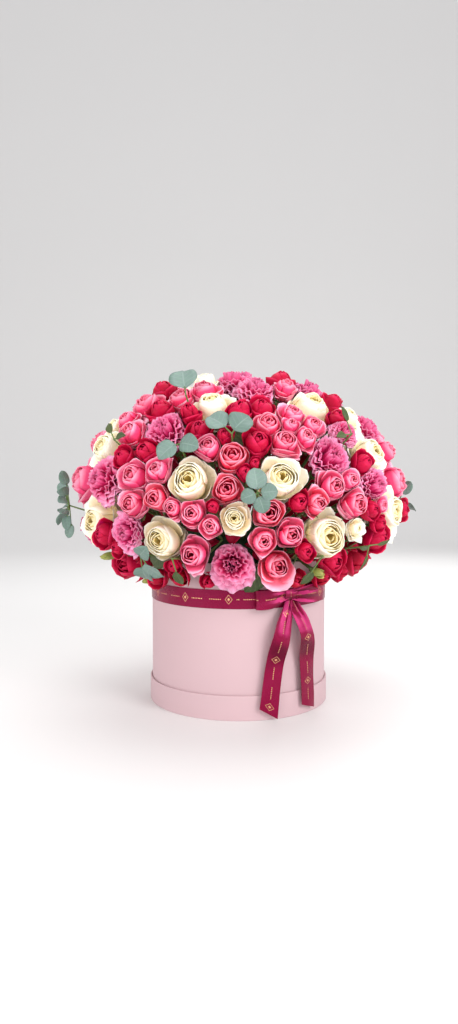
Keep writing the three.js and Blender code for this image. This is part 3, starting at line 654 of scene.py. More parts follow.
class Graph:
    """A node tree under construction."""

    def __init__(self, tree):
        self.tree = tree
        self.nodes = tree.nodes

    def feed(self, socket, value):
        if isinstance(value, Field):
            self.tree.links.new(value.socket, socket)
        else:
            socket.default_value = value

    def node(self, kind, settings=None, **inputs):
        """Adds a node and gives its first output that is in use."""
        node = self.nodes.new(kind)
        for key, value in (settings or {}).items():
            setattr(node, key, value)
        for key, value in inputs.items():
            self.feed(socket_of(node, key), value)
        return Field(self, next(s for s in node.outputs if s.enabled))

    def math(self, operation, *values, kind="ShaderNodeMath"):
        field = self.node(kind, {"operation": operation})
        for socket, value in zip(field.socket.node.inputs, values):
            self.feed(socket, value)
        return field

    def mix(self, factor, a, b):
        return self.node("ShaderNodeMix", {"data_type": "RGBA"}, Factor=factor, A=a, B=b)

    def parts(self, vector):
        field = self.node("ShaderNodeSeparateXYZ", Vector=vector)
        return [field.other(axis) for axis in "XYZ"]

    def combined(self, x, y, z):
        return self.node("ShaderNodeCombineXYZ", X=x, Y=y, Z=z)


SOCKET_WORDS = {int: "Int", float: "Float", tuple: "Color"}


class Group(Graph):
    """A node group in the making. An input is given by its default value, or by the word for its kind."""

    def __init__(self, name, kind, inputs, outputs):
        super().__init__(bpy.data.node_groups.new(name, kind))
        rows = self.tree.interface
        for label, value in inputs.items():
            has_default = not isinstance(value, str)
            word = SOCKET_WORDS[type(value)] if has_default else value
            socket = rows.new_socket(label, in_out="INPUT", socket_type="NodeSocket" + word)
            if has_default:
                socket.default_value = value
        for label in outputs:
            word = label if label in ("Color", "Geometry") else "Float"
            rows.new_socket(label, in_out="OUTPUT", socket_type="NodeSocket" + word)
        self.entry = self.nodes.new("NodeGroupInput")
        self.leave = self.nodes.new("NodeGroupOutput")

    def value(self, label):
        return Field(self, self.entry.outputs[label])

    def give(self, **outputs):
        for label, value in outputs.items():
            self.feed(self.leave.inputs[label], value)
        return self.tree


class Tree(Group):
    """A geometry node tree under construction."""

    def __init__(self, name, **inputs):
        inputs = {label.replace("_", " "): value for label, value in inputs.items()}
        rows = {"Geometry": "Geometry", **inputs, "Material": "Material"}
        super().__init__(name, "GeometryNodeTree", rows, ["Geometry"])

    def vector_math(self, operation, *values):
        return self.math(operation, *values, kind="ShaderNodeVectorMath")

    def scaled(self, vector, factor):
        return self.node("ShaderNodeVectorMath", {"operation": "SCALE"}, Vector=vector, Scale=factor)

    def total(self, *vectors):
        result = vectors[0]
        for vector in vectors[1:]:
            result = self.vector_math("ADD", result, vector)
        return result

    def read(self, name, kind="FLOAT"):
        return self.node("GeometryNodeInputNamedAttribute", {"data_type": kind}, Name=name)

    def read_vector(self, name):
        return self.read(name, "FLOAT_VECTOR")

    def store(self, geometry, name, value, kind="FLOAT"):
        return self.node("GeometryNodeStoreNamedAttribute", {"data_type": kind, "domain": "POINT"},
                         Geometry=geometry, Name=name, Value=value)

    def store_vector(self, geometry, name, value):
        return self.store(geometry, name, value, "FLOAT_VECTOR")

    def sheets(self, points):
        """A flat closed sheet at each point: x from -1 to 1 across, y from 0 to 1 along, z -1 on its back
        and 1 on its front. It keeps the point's place and a random vector."""
        chance = self.node("FunctionNodeRandomValue", {"data_type": "FLOAT_VECTOR"},
                           Min=(-1, -1, -1), Max=(1, 1, 1), Seed=self.value("Seed"))
        position = self.node("GeometryNodeInputPosition")
        points = self.store_vector(points, "chance", chance)
        points = self.store_vector(points, "middle", position)
        cube = self.node("GeometryNodeMeshCube", Size=(2, 1, 2), Vertices_X=self.value("Points across"),
                         Vertices_Y=self.value("Points along"), Vertices_Z=2)
        template = self.store_vector(cube, "sheet", self.vector_math("ADD", position, (0, 0.5, 0)))
        instances = self.node("GeometryNodeInstanceOnPoints", Points=points, Instance=template)
        return self.node("GeometryNodeRealizeInstances", Geometry=instances)

    def finish(self, geometry):
        smooth = self.node("GeometryNodeSetShadeSmooth", Geometry=geometry)
        return self.give(Geometry=self.node(
            "GeometryNodeSetMaterial", Geometry=smooth, Material=self.value("Material")))


def bloom_tree():
    """Heads of petals that stand in a spiral round each point of a mesh.

    The points bring the attributes facing, side, neck, radius, spin and open. A petal's surface is a
    curve from the neck over a control point to its rim, turned about the head's axis."""
    rows = {name: 1 if make is number else 1.0 for make, name, _ in BLOOM_FIELDS.values()}
    tree = Tree("bloom", **rows, Thickness=0.0007, Seed=1)
    shape = SimpleNamespace(**{key: tree.value(name) for key, (_, name, _) in BLOOM_FIELDS.items()})
    points = tree.node("GeometryNodeDuplicateElements", {"domain": "POINT"},
                       Geometry=tree.value("Geometry"), Amount=shape.petals)
    index = points.other("Duplicate Index")
    points = tree.store(points, "layer", (index + 0.5) / shape.petals)
    points = tree.store(points, "turn", index * GOLDEN_TURN + tree.read("spin"))
    petals = tree.sheets(points)

    # Places on the petal, its chances and its head
    u, w, face = tree.parts(tree.read_vector("sheet"))
    cx, cy, cz = tree.parts(tree.read_vector("chance"))
    t = tree.read("layer")
    opened = tree.read("open")
    radius = tree.read("radius")
    turn = tree.read("turn") + cx * 0.22
    off = u.of("ABSOLUTE")
    heart = (t / shape.core).of("MINIMUM", 1.0)
    outer = ((t - shape.core) / (1.0 - shape.core)).of("MAXIMUM", 0.0)
    is_outer = outer.of("GREATER_THAN", 0.0)

    # The rim's outline: rounded, pointed and toothed
    teeth = (u * 13.0 + cy * 3.0).of("SINE").of("ABSOLUTE")
    top = 1.0 - shape.round * off ** 2.4 - shape.point * is_outer * (0.4 + 0.6 * outer) * off
    top = top - shape.fringe * teeth
    s = w * top
    rest = 1.0 - s

    # Radius and height of the rim, the control point and the foot
    opening = shape.opening * (0.45 + 0.55 * opened)
    heart_rim = 0.03 + (opening - 0.03) * heart
    first = shape.globe + 0.12
    outer_rim = first + (shape.spread * (0.86 + 0.14 * opened) - first) * outer ** 0.8
    rim_r = (heart_rim + (outer_rim - heart_rim) * is_outer) * (1.0 + cy * 0.06)
    heart_z = shape.rise - shape.dome * heart * heart
    outer_z = heart_z - 0.14 + (shape.fall - shape.rise + 0.14) * outer * (0.6 + 0.4 * opened)
    rim_z = heart_z + (outer_z - heart_z) * is_outer + cz * 0.035
    foot_r, foot_z = 0.07, -NECK_LEVEL
    belly = 0.12 + (shape.globe - 0.12) * heart ** 0.75
    heart_mid = (belly * 2.0 - (rim_r + foot_r) * 0.5).of("MAXIMUM", 0.1)
    outer_mid = shape.globe + shape.hug + outer * 0.08
    mid_r = heart_mid + (outer_mid - heart_mid) * is_outer
    mid_z = 0.26 + (shape.throat - 0.26 - outer * 0.22) * is_outer

    # The curve through them, its slope, the rolled lip and the waves
    r = rest ** 2.0 * foot_r + rest * s * 2.0 * mid_r + s ** 2.0 * rim_r
    z = rest ** 2.0 * foot_z + rest * s * 2.0 * mid_z + s ** 2.0 * rim_z
    slope_r = rest * (mid_r - foot_r) + s * (rim_r - mid_r)
    slope_z = rest * (mid_z - foot_z) + s * (rim_z - mid_z)
    steep = (slope_r ** 2.0 + slope_z ** 2.0 + 0.0001).of("SQRT")
    curled = ((s - 0.66) / 0.34).of("MAXIMUM", 0.0) ** 2.0
    roll = curled * shape.lip * (0.12 + is_outer * (0.33 + outer * 0.9))
    wave = (u * math.pi * shape.waves + cz * 5.0 + turn * 3.0).of("SINE")
    cross_wave = (u * math.pi * shape.waves * 0.43 + cx * 7.0 + s * 3.0).of("SINE")
    ruffle = (wave + cross_wave * 0.7) * shape.wave * s ** 2.0 * (0.4 + 0.6 * t)
    lift = ruffle + face * tree.value("Thickness") * 0.5 / radius
    r = r + roll + lift * slope_z / steep
    z = z - roll * 0.75 - lift * slope_r / steep
    width = shape.wrap + (shape.width - shape.wrap) * is_outer
    angle = turn + u * width * (0.82 + 0.18 * w)
    r = r * (1.0 + 0.05 * (angle * 2.0 + tree.read("spin") * 3.0).of("SINE"))

    facing = tree.read_vector("facing")
    side = tree.read_vector("side")
    up = tree.vector_math("CROSS_PRODUCT", facing, side)
    shift = tree.scaled(tree.read_vector("neck"), rest ** 2.0)
    local = tree.total(tree.scaled(side, r * angle.of("COSINE")), tree.scaled(up, r * angle.of("SINE")),
                       tree.scaled(facing, z))
    place = tree.total(tree.read_vector("middle"), tree.scaled(local, radius), shift)
    shaped = tree.node("GeometryNodeSetPosition", Geometry=petals, Position=place)
    shaped = tree.store_vector(shaped, "petal", tree.combined(u, s, t))
    return tree.finish(tree.store(shaped, "fresh", cx * 0.5 + 0.5))


def leaf_tree():
    """Leaves at the points of a mesh, each a folded and curled sheet.

    The points bring the attributes axis, across and size (length, width, curl)."""
    tree = Tree("leaf", Point=0.5, Fold=0.2, Teeth=0.0, Fullness=0.6, Points_across=7, Points_along=11,
                Thickness=0.0007, Seed=1)
    leaves = tree.sheets(tree.node("GeometryNodeMeshToPoints", Mesh=tree.value("Geometry")))
    u, w, face = tree.parts(tree.read_vector("sheet"))
    cx, cy, cz = tree.parts(tree.read_vector("chance"))
    length, width, curl = tree.parts(tree.read_vector("size"))
    swell = (w ** (1.0 - tree.value("Point") * 0.35) * math.pi).of("SINE").of("MAXIMUM", 0.0)
    teeth = 1.0 - tree.value("Teeth") * (w * 9.0).of("FRACT")
    half = (swell ** tree.value("Fullness") * teeth).of("MAXIMUM", 0.035) * width * 0.5
    off = u.of("ABSOLUTE")
    ripple = (w * 9.0 + cx * 4.0).of("SINE") * off * off * width * 0.035
    bend = curl * (w - 0.25) ** 2.0 * length
    lift = off * half * tree.value("Fold") + ripple - bend + cy * u * width * 0.06
    lift = lift + face * tree.value("Thickness") * 0.5
    axis = tree.read_vector("axis")
    across = tree.read_vector("across")
    out = tree.vector_math("CROSS_PRODUCT", across, axis)
    local = tree.total(tree.scaled(across, u * half), tree.scaled(axis, w * length), tree.scaled(out, lift))
    place = tree.total(tree.read_vector("middle"), local)
    shaped = tree.node("GeometryNodeSetPosition", Geometry=leaves, Position=place)
    return tree.finish(tree.store_vector(shaped, "petal", tree.combined(u, w, cz * 0.5 + 0.5)))


def stem_tree():
    """Round stems along the edges of a mesh, as thick as its attribute thick says."""
    tree = Tree("stem", Sides=8, Bend=0.008)
    curve = tree.node("GeometryNodeMeshToCurve", Mesh=tree.value("Geometry"))
    smooth = tree.node("GeometryNodeFilletCurve", {"mode": "POLY"},
                       Curve=curve, Radius=tree.value("Bend"), Count=4, Limit_Radius=True)
    ring = tree.node("GeometryNodeCurvePrimitiveCircle", Resolution=tree.value("Sides"), Radius=1)
    return tree.finish(tree.node("GeometryNodeCurveToMesh", Curve=smooth, Profile_Curve=ring,
                                 Scale=tree.read("thick"), Fill_Caps=True))


def mesh_of(name, points, edges=()):
    mesh = bpy.data.meshes.new(name)
    mesh.from_pydata([tuple(p) for p in points], [tuple(e) for e in edges], [])
    return mesh


def put(mesh, kind, **attributes):
    """Gives a mesh attributes of one kind, a value for each point."""
    key = "vector" if kind == "FLOAT_VECTOR" else "value"
    numbers = np.int32 if kind == "INT" else np.float32
    for name, values in attributes.items():
        layer = mesh.attributes.new(name, kind, "POINT")
        layer.data.foreach_set(key, np.asarray(values, dtype=numbers).ravel())


def shown(name, data):
    """An object of a mesh, a light or a camera, in the scene."""
    piece = bpy.data.objects.new(name, data)
    bpy.context.scene.collection.objects.link(piece)
    return piece


def grown(name, mesh, tree, inputs):
    """The plain mesh object that a tree makes of a mesh."""
    source = shown(name, mesh)
    modifier = source.modifiers.new("grow", "NODES")
    modifier.node_group = tree
    keys = {item.name: item.identifier for item in tree.interface.items_tree if item.in_out == "INPUT"}
    for label, value in inputs.items():
        modifier[keys[label.replace("_", " ")]] = value
    source.update_tag()
    depsgraph = bpy.context.evaluated_depsgraph_get()
    depsgraph.update()
    made = bpy.data.meshes.new_from_object(source.evaluated_get(depsgraph), depsgraph=depsgraph)
    bpy.data.objects.remove(source)
    if not made.polygons:
        raise RuntimeError(f"{name}: the tree made nothing")
    made.name = name
    return shown(name, made)


WORKING_ATTRIBUTES = ("middle", "neck", "facing", "side", "sheet", "chance", "turn", "spin", "thick", "axis",
                      "across", "size", "layer", "radius", "head")


def joined(name, pieces):
    """One object of several, without the attributes that only its making needed."""
    target = pieces[0]
    with bpy.context.temp_override(
            active_object=target, object=target, selected_objects=pieces, selected_editable_objects=pieces):
        bpy.ops.object.join()
    target.name = name
    target.data.name = name
    attributes = target.data.attributes
    for extra in WORKING_ATTRIBUTES:
        if extra in attributes:
            attributes.remove(attributes[extra])
    return target


def press(piece, places):
    """Presses the petals of each head back to its own side of the lines to its neighbours, softly."""
    mesh = piece.data
    points = np.empty(len(mesh.vertices) * 3, dtype=np.float32)
    mesh.vertices.foreach_get("co", points)
    points = points.reshape(-1, 3).astype(np.float64) / MM
    heads = np.empty(len(points), dtype=np.int32)
    mesh.attributes["head"].data.foreach_get("value", heads)
    for k, place in enumerate(places):
        mine = heads == k
        own = points[mine]
        for normal, gap in place.borders:
            room = float((place.middle - STEM_HEART) @ normal) - gap
            if room <= LEAST_ROOM:
                continue
            toward = (own - place.middle) @ -normal
            over = np.maximum(toward / room - FREE_SHARE, 0)
            bent = FREE_SHARE + (1 - FREE_SHARE) * (1 - np.exp(-over / (1 - FREE_SHARE)))
            held = np.where(over > 0, bent, toward / room)
            own = own + (held * room - toward)[:, None] * -normal
        points[mine] = own
    mesh.vertices.foreach_set("co", (points * MM).astype(np.float32).ravel())
    mesh.update()


def spiral(count, top, drop):
    """Directions spread evenly round the upright axis, from height top down by drop, as shares of 1."""
    for i in range(count):
        z = top - (i + 0.5) / count * drop
        level = math.sqrt(max(0, 1 - z * z))
        turn = i * GOLDEN_TURN
        yield np.array([level * math.cos(turn), level * math.sin(turn), z])


PINK_KINDS = ("spray_rose", "rose_bud", "carnation")


class Garden:
    """The whole plan and its trees, made once."""

    def __init__(self):
        self.sprays, self.sprigs = plant()
        self.bloom = bloom_tree()
        self.leaf = leaf_tree()
        self.stem = stem_tree()
        self.heads = [(spray, i, place) for spray in self.sprays for i, place in enumerate(spray.places)
                      if spray.kind != "green_bud"]
        self.directions = np.array([place.d for _, _, place in self.heads])
        self.reaches = np.array([place.reach for _, _, place in self.heads])
        self.fillers = {}
        self.fill_gaps()
        self.fill_inside()

    def add_filler(self, head, d, cover, radius):
        """A filler's direction, its head's number, how far out of that head's reach it stands, its radius."""
        spray, i, _ = self.heads[head]
        self.fillers.setdefault(spray.name, []).append((d, i, cover, radius))

    def fill_gaps(self):
        """Fills the gaps between the heads, the largest first, each from the spray whose head is nearest."""
        gaps = []
        for d in spiral(GAP_TRIALS, 1, 1.2):
            angles = np.arccos(np.clip(self.directions @ d, -1, 1))
            cover = angles / self.reaches
            head = int(np.argmin(cover))
            if cover[head] >= GAP_COVER and height_of(d) >= GAP_LOWEST:
                room = float(np.min(angles - self.reaches * FILLER_TUCK)) * dome_reach(d, 0)
                gaps.append((room, d, head, float(cover[head])))
        gaps.sort(key=lambda gap: -gap[0])
        chosen = []
        for room, d, head, cover in gaps:
            radius = min(FILLER_MOST, max(FILLER_LEAST, room * FILLER_GROWTH))
            reach = dome_reach(d, 0)
            if any(between(d, other) * reach < (radius + r) * FILLER_SPACING for other, r in chosen):
                continue
            chosen.append((d, radius))
            self.add_filler(head, d, cover, radius)

    def fill_inside(self):
        """Spreads petals under the heads, where no foliage would show. Their cover and radius are 0."""
        is_pink = np.array([spray.kind in PINK_KINDS for spray, _, _ in self.heads])
        for d in spiral(INNER_PETALS, 0.97, 0.92):
            cover = np.arccos(np.clip(self.directions @ d, -1, 1)) / self.reaches
            self.add_filler(int(np.argmin(np.where(is_pink, cover, np.inf))), d, 0.0, 0.0)


_garden = []


def garden():
    if not _garden:
        _garden.append(Garden())
    return _garden[0]


# Materials
class Paint(Graph):
    """A material under construction: a Principled shader and the nodes that feed it."""

    def __init__(self, name):
        self.material = bpy.data.materials.new(name)
        self.material.use_nodes = True
        super().__init__(self.material.node_tree)
        self.shader = next(n for n in self.nodes if n.type == "BSDF_PRINCIPLED")

    def set(self, **values):
        for name, value in values.items():
            self.feed(socket_of(self.shader, name), value)

    def group(self, builder, **inputs):
        """Adds a shader group, which its builder makes at its first use under the builder's own name."""
        tree = bpy.data.node_groups.get(builder.__name__) or builder()
        return self.node("ShaderNodeGroup", {"node_tree": tree}, **inputs)

    def bump(self, height, distance, strength):
        self.set(Normal=self.node("ShaderNodeBump", Height=height, Distance=distance, Strength=strength))

    def roughen(self, mask, least, most):
        self.set(Roughness=self.node("ShaderNodeMapRange", Value=mask, To_Min=least, To_Max=most))


class ShaderGroup(Group):
    """A shader node group under construction."""

    def __init__(self, name, inputs, outputs):
        super().__init__(name, "ShaderNodeTree", inputs, outputs)

    def read(self, name, output="Fac"):
        return self.node("ShaderNodeAttribute", {"attribute_name": name}).other(output)

    def place(self):
        return self.node("ShaderNodeTexCoord").other("Object")

    def noise(self, vector, scale, detail):
        return self.node("ShaderNodeTexNoise", Vector=vector, Scale=scale, Detail=detail)

    def shaded(self, color, change):
        """A colour made lighter or darker by a change about 0."""
        return self.node("ShaderNodeHueSaturation", Hue=0.5, Saturation=1.0, Fac=1.0,
                         Value=1.0 + change, Color=color)


WHITE = (1, 1, 1, 1)
LOOK = ("Color", "Roughness", "Height")


def petal_colour():
    """Colour, roughness and relief of a petal by its attributes petal (across, along, layer), tint, fresh."""
    colors = dict.fromkeys(("Heart", "Body", "Warm Body", "Rim", "Depth"), WHITE)
    group = ShaderGroup(
        "petal_colour", {**colors, "Rim Width": 0.2, "Heart Reach": 0.5, "Outer Paleness": 0.5}, LOOK)
    value = group.value
    u, v, layer = group.parts(group.read("petal", "Vector"))
    cloud = group.noise(group.place(), 90.0, 3.0)
    body = group.mix(group.read("tint"), value("Body"), value("Warm Body"))
    inner = (1.0 - layer / value("Heart Reach")).clamped()
    # Towards each petal's foot the colour runs into the foot colour: partly the petal's own base tone, partly
    # painted shade down in the head. The outer petals take less of it.
    foot_tone_and_shade_share = (1.0 - v * 1.35).clamped() * (0.95 - layer * 0.85)
    color = group.mix(foot_tone_and_shade_share, group.mix(inner, body, value("Heart")), value("Depth"))
    rim = ((v - (1.0 - value("Rim Width"))) / value("Rim Width")).clamped()
    rim = (rim * (0.25 + layer)).clamped()
    rim = (rim * (0.55 + cloud)).clamped()
    outer = (layer - 0.55).of("MAXIMUM", 0.0)
    rim = (rim + outer * value("Outer Paleness")).clamped()
    fade = (group.read("fresh") - 0.5) * 0.18 + (cloud - 0.5) * 0.25
    veins = group.noise(group.combined(u * 11.0, v * 1.2, layer * 30.0), 2.2, 3.0)
    return group.give(
        Color=group.shaded(group.mix(rim, color, value("Rim")), fade), Roughness=0.42 + veins * 0.22,
        Height=veins + cloud * 0.4)


def leaf_colour():
    """Colour, roughness and relief of a leaf from its attribute petal (across, along, chance)."""
    colors = dict.fromkeys(("Blade", "Old Blade", "Vein"), WHITE)
    group = ShaderGroup("leaf_colour", {**colors, "Veins": 7.0, "Vein Strength": 0.5}, LOOK)
    value = group.value
    u, v, chance = group.parts(group.read("petal", "Vector"))
    cloud = group.noise(group.place(), 70.0, 4.0)
    off = u.of("ABSOLUTE")
    midrib = (1.0 - off / 0.09).clamped()
    wave = ((v - off * 0.22) * (value("Veins") * (2 * math.pi))).of("SINE")
    ribs = wave.of("MAXIMUM", 0.0) ** 10.0
    veins = midrib.of("MAXIMUM", ribs * 0.5)
    age = (chance * 0.6 + cloud * 0.5).clamped()
    color = group.mix(age, value("Blade"), value("Old Blade"))
    return group.give(
        Color=group.mix(veins * value("Vein Strength"), color, value("Vein")), Roughness=0.4 + cloud * 0.25,
        Height=cloud - veins * 0.8)


def fine_grain():
    """Fine grain from Object coordinates: a slow tint, a fine speckle and a height."""
    group = ShaderGroup(
        "fine_grain", {"Slow Scale": 14.0, "Fine Scale": 900.0, "Color": WHITE, "Variation": 0.08},
        ("Color", "Mask", "Height"))
    place = group.place()
    slow = group.noise(place, group.value("Slow Scale"), 4.0)
    fine = group.noise(place, group.value("Fine Scale"), 2.0)
    both = slow * 0.7 + fine * 0.3
    change = (both - 0.5) * group.value("Variation")
    return group.give(Color=group.shaded(group.value("Color"), change), Mask=both, Height=fine)


def foil_print():
    """Foil print that follows a ribbon's UV map, in metres: lozenges with rows of dots between them."""
    group = ShaderGroup("foil_print", {"Spacing": 0.062}, ("Mask", "Weave"))
    lozenge_length, lozenge_width = 0.0052, 0.0066
    dot_pitch, dot_radius = 0.0024, 0.00072
    row_start, row_end = 0.0105, 0.026
    thread_pitch, pick_pitch = 0.0006, 0.0008
    u, v, _ = group.parts(group.node("ShaderNodeUVMap", {"uv_map": "ribbon"}))

    def about_middle(x, pitch):
        """The way from the middle of each stretch of a length."""
        return ((x / pitch).of("FRACT") - 0.5) * pitch

    x = about_middle(u, group.value("Spacing"))
    off_x, off_y = x.of("ABSOLUTE"), v.of("ABSOLUTE")
    diamond = off_x / lozenge_length + off_y / lozenge_width
    ring = (diamond - 0.9).of("ABSOLUTE").of("LESS_THAN", 0.07)
    core = diamond.of("LESS_THAN", 0.36)
    dot_x = about_middle(x, dot_pitch)
    dots = (dot_x * dot_x + v * v).of("SQRT").of("LESS_THAN", dot_radius)
    row = dots * off_x.of("GREATER_THAN", row_start) * off_x.of("LESS_THAN", row_end)
    threads = (v * (2 * math.pi / thread_pitch)).of("SINE")
    picks = (u * (2 * math.pi / pick_pitch)).of("SINE")
    return group.give(Mask=ring.of("MAXIMUM", core).of("MAXIMUM", row), Weave=threads + picks * 0.5)


def satin_colour():
    """Satin's colour: light where the cloth turns up, deep in the folds that turn down."""
    colors = dict.fromkeys(("Color", "Lit Color", "Shaded Color"), WHITE)
    group = ShaderGroup("satin_colour", colors, ("Color",))
    # The surface normal's height, made slightly uneven by noise, picks where the painted highlight and the
    # painted shade go.
    turned = group.parts(group.node("ShaderNodeTexCoord").other("Normal"))[2]
    up = turned + (group.noise(group.place(), 34.0, 1.0) - 0.5) * 0.22

    def ramp(start, end):
        return group.node("ShaderNodeMapRange", {"interpolation_type": "SMOOTHSTEP"},
                          Value=up, From_Min=start, From_Max=end)

    color = group.mix(ramp(0.06, 0.42), group.value("Color"), group.value("Lit Color"))
    return group.give(Color=group.mix(ramp(0.02, -0.35), color, group.value("Shaded Color")))


# Colours of petals and leaves as they look, 0 to 255, with the shares that their groups take. A petal's foot
# colour is partly its own base tone and partly painted shade down in the head.
PETALS = {
    "garden_rose": dict(
        Heart=(252, 226, 142), Body=(255, 250, 228), Warm_Body=(254, 235, 202), Rim=(255, 254, 244),
        Depth=(252, 222, 128), Rim_Width=0.22, Heart_Reach=0.7, Outer_Paleness=1.0),
    "spray_rose": dict(
        Heart=(230, 32, 84), Body=(247, 82, 140), Warm_Body=(244, 62, 86), Rim=(255, 186, 208),
        Depth=(200, 4, 62), Rim_Width=0.22, Heart_Reach=0.8, Outer_Paleness=1.1),
    "rose_bud": dict(
        Heart=(188, 4, 56), Body=(192, 4, 58), Warm_Body=(168, 2, 36), Rim=(226, 40, 90),
        Depth=(112, 0, 28), Rim_Width=0.14, Heart_Reach=0.4, Outer_Paleness=0.2),
    "carnation": dict(
        Heart=(212, 40, 112), Body=(220, 56, 128), Warm_Body=(228, 44, 100), Rim=(252, 178, 212),
        Depth=(160, 4, 70), Rim_Width=0.3, Heart_Reach=0.4, Outer_Paleness=0.0),
    "green_bud": dict(
        Heart=(160, 168, 84), Body=(150, 162, 84), Warm_Body=(150, 150, 74), Rim=(186, 188, 112),
        Depth=(92, 118, 44), Rim_Width=0.3, Heart_Reach=0.5, Outer_Paleness=0.0),
}
LEAVES = {
    "eucalyptus_leaf": dict(
        Blade=(130, 152, 144), Old_Blade=(92, 116, 106), Vein=(168, 186, 176), Veins=5.0, Vein_Strength=0.3),
    "rose_leaf": dict(
        Blade=(50, 74, 40), Old_Blade=(84, 92, 46), Vein=(108, 124, 74), Veins=7.0, Vein_Strength=0.5),
}

# Plain finishes: the colour, the least and the most roughness, the grain and its relief's height and strength
GRAINS = {
    "pink_paper": dict(color="card", rough=(0.62, 0.78), grain=dict(Variation=0.1), relief=(0.00015, 0.5),
                       surface=dict(Specular_IOR_Level=0.35, Sheen_Weight=0.08)),
    "flower_foam": dict(color="foam", rough=(0.75, 0.95), grain=dict(Variation=0.7), relief=(0.0008, 0.8),
                        surface=dict(Specular_IOR_Level=0.3)),
    "clear_film": dict(color="film", rough=(0.2, 0.4), grain=dict(Variation=0.1), relief=(0.0003, 0.4),
                       surface={}),
    "green_stem": dict(color="stem", rough=(0.4, 0.6), grain=dict(Variation=0.6, Slow_Scale=60.0),
                       relief=(0.0003, 0.5), surface=dict(Specular_IOR_Level=0.4)),
}


def tone(value):
    """A colour given as it looks, made linear. Another value stays."""
    if not isinstance(value, tuple):
        return value
    looks = [x / 255 for x in value]
    return (*(x / 12.92 if x <= 0.04045 else ((x + 0.055) / 1.055) ** 2.4 for x in looks), 1.0)


def color_of(key):
    return (*getattr(bpy.context.scene.hat_box_colors, key), 1.0)


def dress(made, builder, row, distance, strength):
    """Colour, roughness and relief of a petal or a leaf."""
    look = made.group(builder, **{key: tone(value) for key, value in row.items()})
    made.set(Base_Color=look, Roughness=look.other("Roughness"))
    made.bump(look.other("Height"), distance, strength)
    return made.material


def paint_petal(name):
    kind = name.removesuffix("_petal")
    is_pale = kind == "garden_rose"
    made = Paint(name)
    made.set(Specular_IOR_Level=0.3, Specular_Tint=(1, 0.95, 0.85, 1) if is_pale else (1, 0.5, 0.65, 1),
             Subsurface_Weight=0.12, Subsurface_Scale=0.0015,
             Subsurface_Radius=(1.0, 0.75, 0.4) if is_pale else (1.0, 0.3, 0.35))
    return dress(made, petal_colour, PETALS[kind], 0.0006, 0.5)


def paint_leaf(name):
    made = Paint(name)
    made.set(Specular_IOR_Level=0.4, Subsurface_Weight=0.12, Subsurface_Scale=0.003,
             Subsurface_Radius=(0.4, 1.0, 0.3))
    return dress(made, leaf_colour, LEAVES[name], 0.0005, 0.6)


def paint_grain(name):
    row = GRAINS[name]
    made = Paint(name)
    look = made.group(fine_grain, Color=color_of(row["color"]), **row["grain"])
    made.set(Base_Color=look, **row["surface"])
    made.roughen(look.other("Mask"), *row["rough"])
    made.bump(look.other("Height"), *row["relief"])
    return made.material


def paint_ribbon(name):
    made = Paint(name)
    # The satin's colour holds painted light: lighter where the cloth faces up, painted shade in the folds
    # that face down.
    satin = made.group(satin_colour, Color=color_of("ribbon"), Lit_Color=color_of("satin_lit"),
                       Shaded_Color=color_of("satin_shaded"))
    grain = made.group(fine_grain, Color=satin, Variation=0.3, Slow_Scale=30.0)
    foil = made.group(foil_print, Spacing=bpy.context.scene.hat_box_sizes.motif)
    made.set(Specular_IOR_Level=0.55, Specular_Tint=(1, 0.2, 0.45, 1), Anisotropic=0.5,
             Base_Color=made.mix(foil, grain, color_of("print")), Metallic=foil * 0.7)
    made.roughen(grain.other("Mask"), 0.2, 0.32)
    made.bump(foil.other("Weave"), 0.00004, 0.5)
    return made.material


def paint_floor(name):
    made = Paint(name)
    made.set(Roughness=0.6, Specular_IOR_Level=0.3,
             Base_Color=made.group(fine_grain, Color=color_of("floor"), Variation=0.02, Slow_Scale=2.0))
    return made.material


PAINTERS = {
    **dict.fromkeys(LEAVES, paint_leaf), **dict.fromkeys(GRAINS, paint_grain),
    "ribbon_satin": paint_ribbon, "studio_floor": paint_floor,
}
_paints = {}


def paint(name):
    """A finish by name, made at its first use."""
    if name not in _paints:
        _paints[name] = PAINTERS.get(name, paint_petal)(name)
    return _paints[name]


# Pieces
def keep(piece, node):
    """Says what the piece rides on, what it stands for and which slot it takes its finish from."""
    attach(piece, BODY)
    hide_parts(node)


def stem_object(name, rows):
    """Stems from rows of (path, radius at each point), in millimetres."""
    points, edges, thick = [], [], []
    for path, radii in rows:
        first = len(points)
        points.extend(p * MM for p in path)
        thick.extend(r * MM for r in radii)
        edges.extend((first + i, first + i + 1) for i in range(len(path) - 1))
    mesh = mesh_of(name, points, edges)
    put(mesh, "FLOAT", thick=thick)
    return grown(name, mesh, garden().stem, {"Material": paint("green_stem")})


def leaf_object(name, rows, finish, **shape):
    """Leaves from rows of (foot, axis, across, length, width, curl), in millimetres."""
    feet, axes, acrosses, lengths, widths, curls = zip(*rows)
    mesh = mesh_of(name, [foot * MM for foot in feet])
    sizes = [(length * MM, width * MM, curl) for length, width, curl in zip(lengths, widths, curls)]
    put(mesh, "FLOAT_VECTOR", axis=axes, across=acrosses, size=sizes)
    inputs = dict(Thickness=bpy.context.scene.hat_box_sizes.leaf, Material=paint(finish), Seed=3, **shape)
    return grown(name, mesh, garden().leaf, inputs)


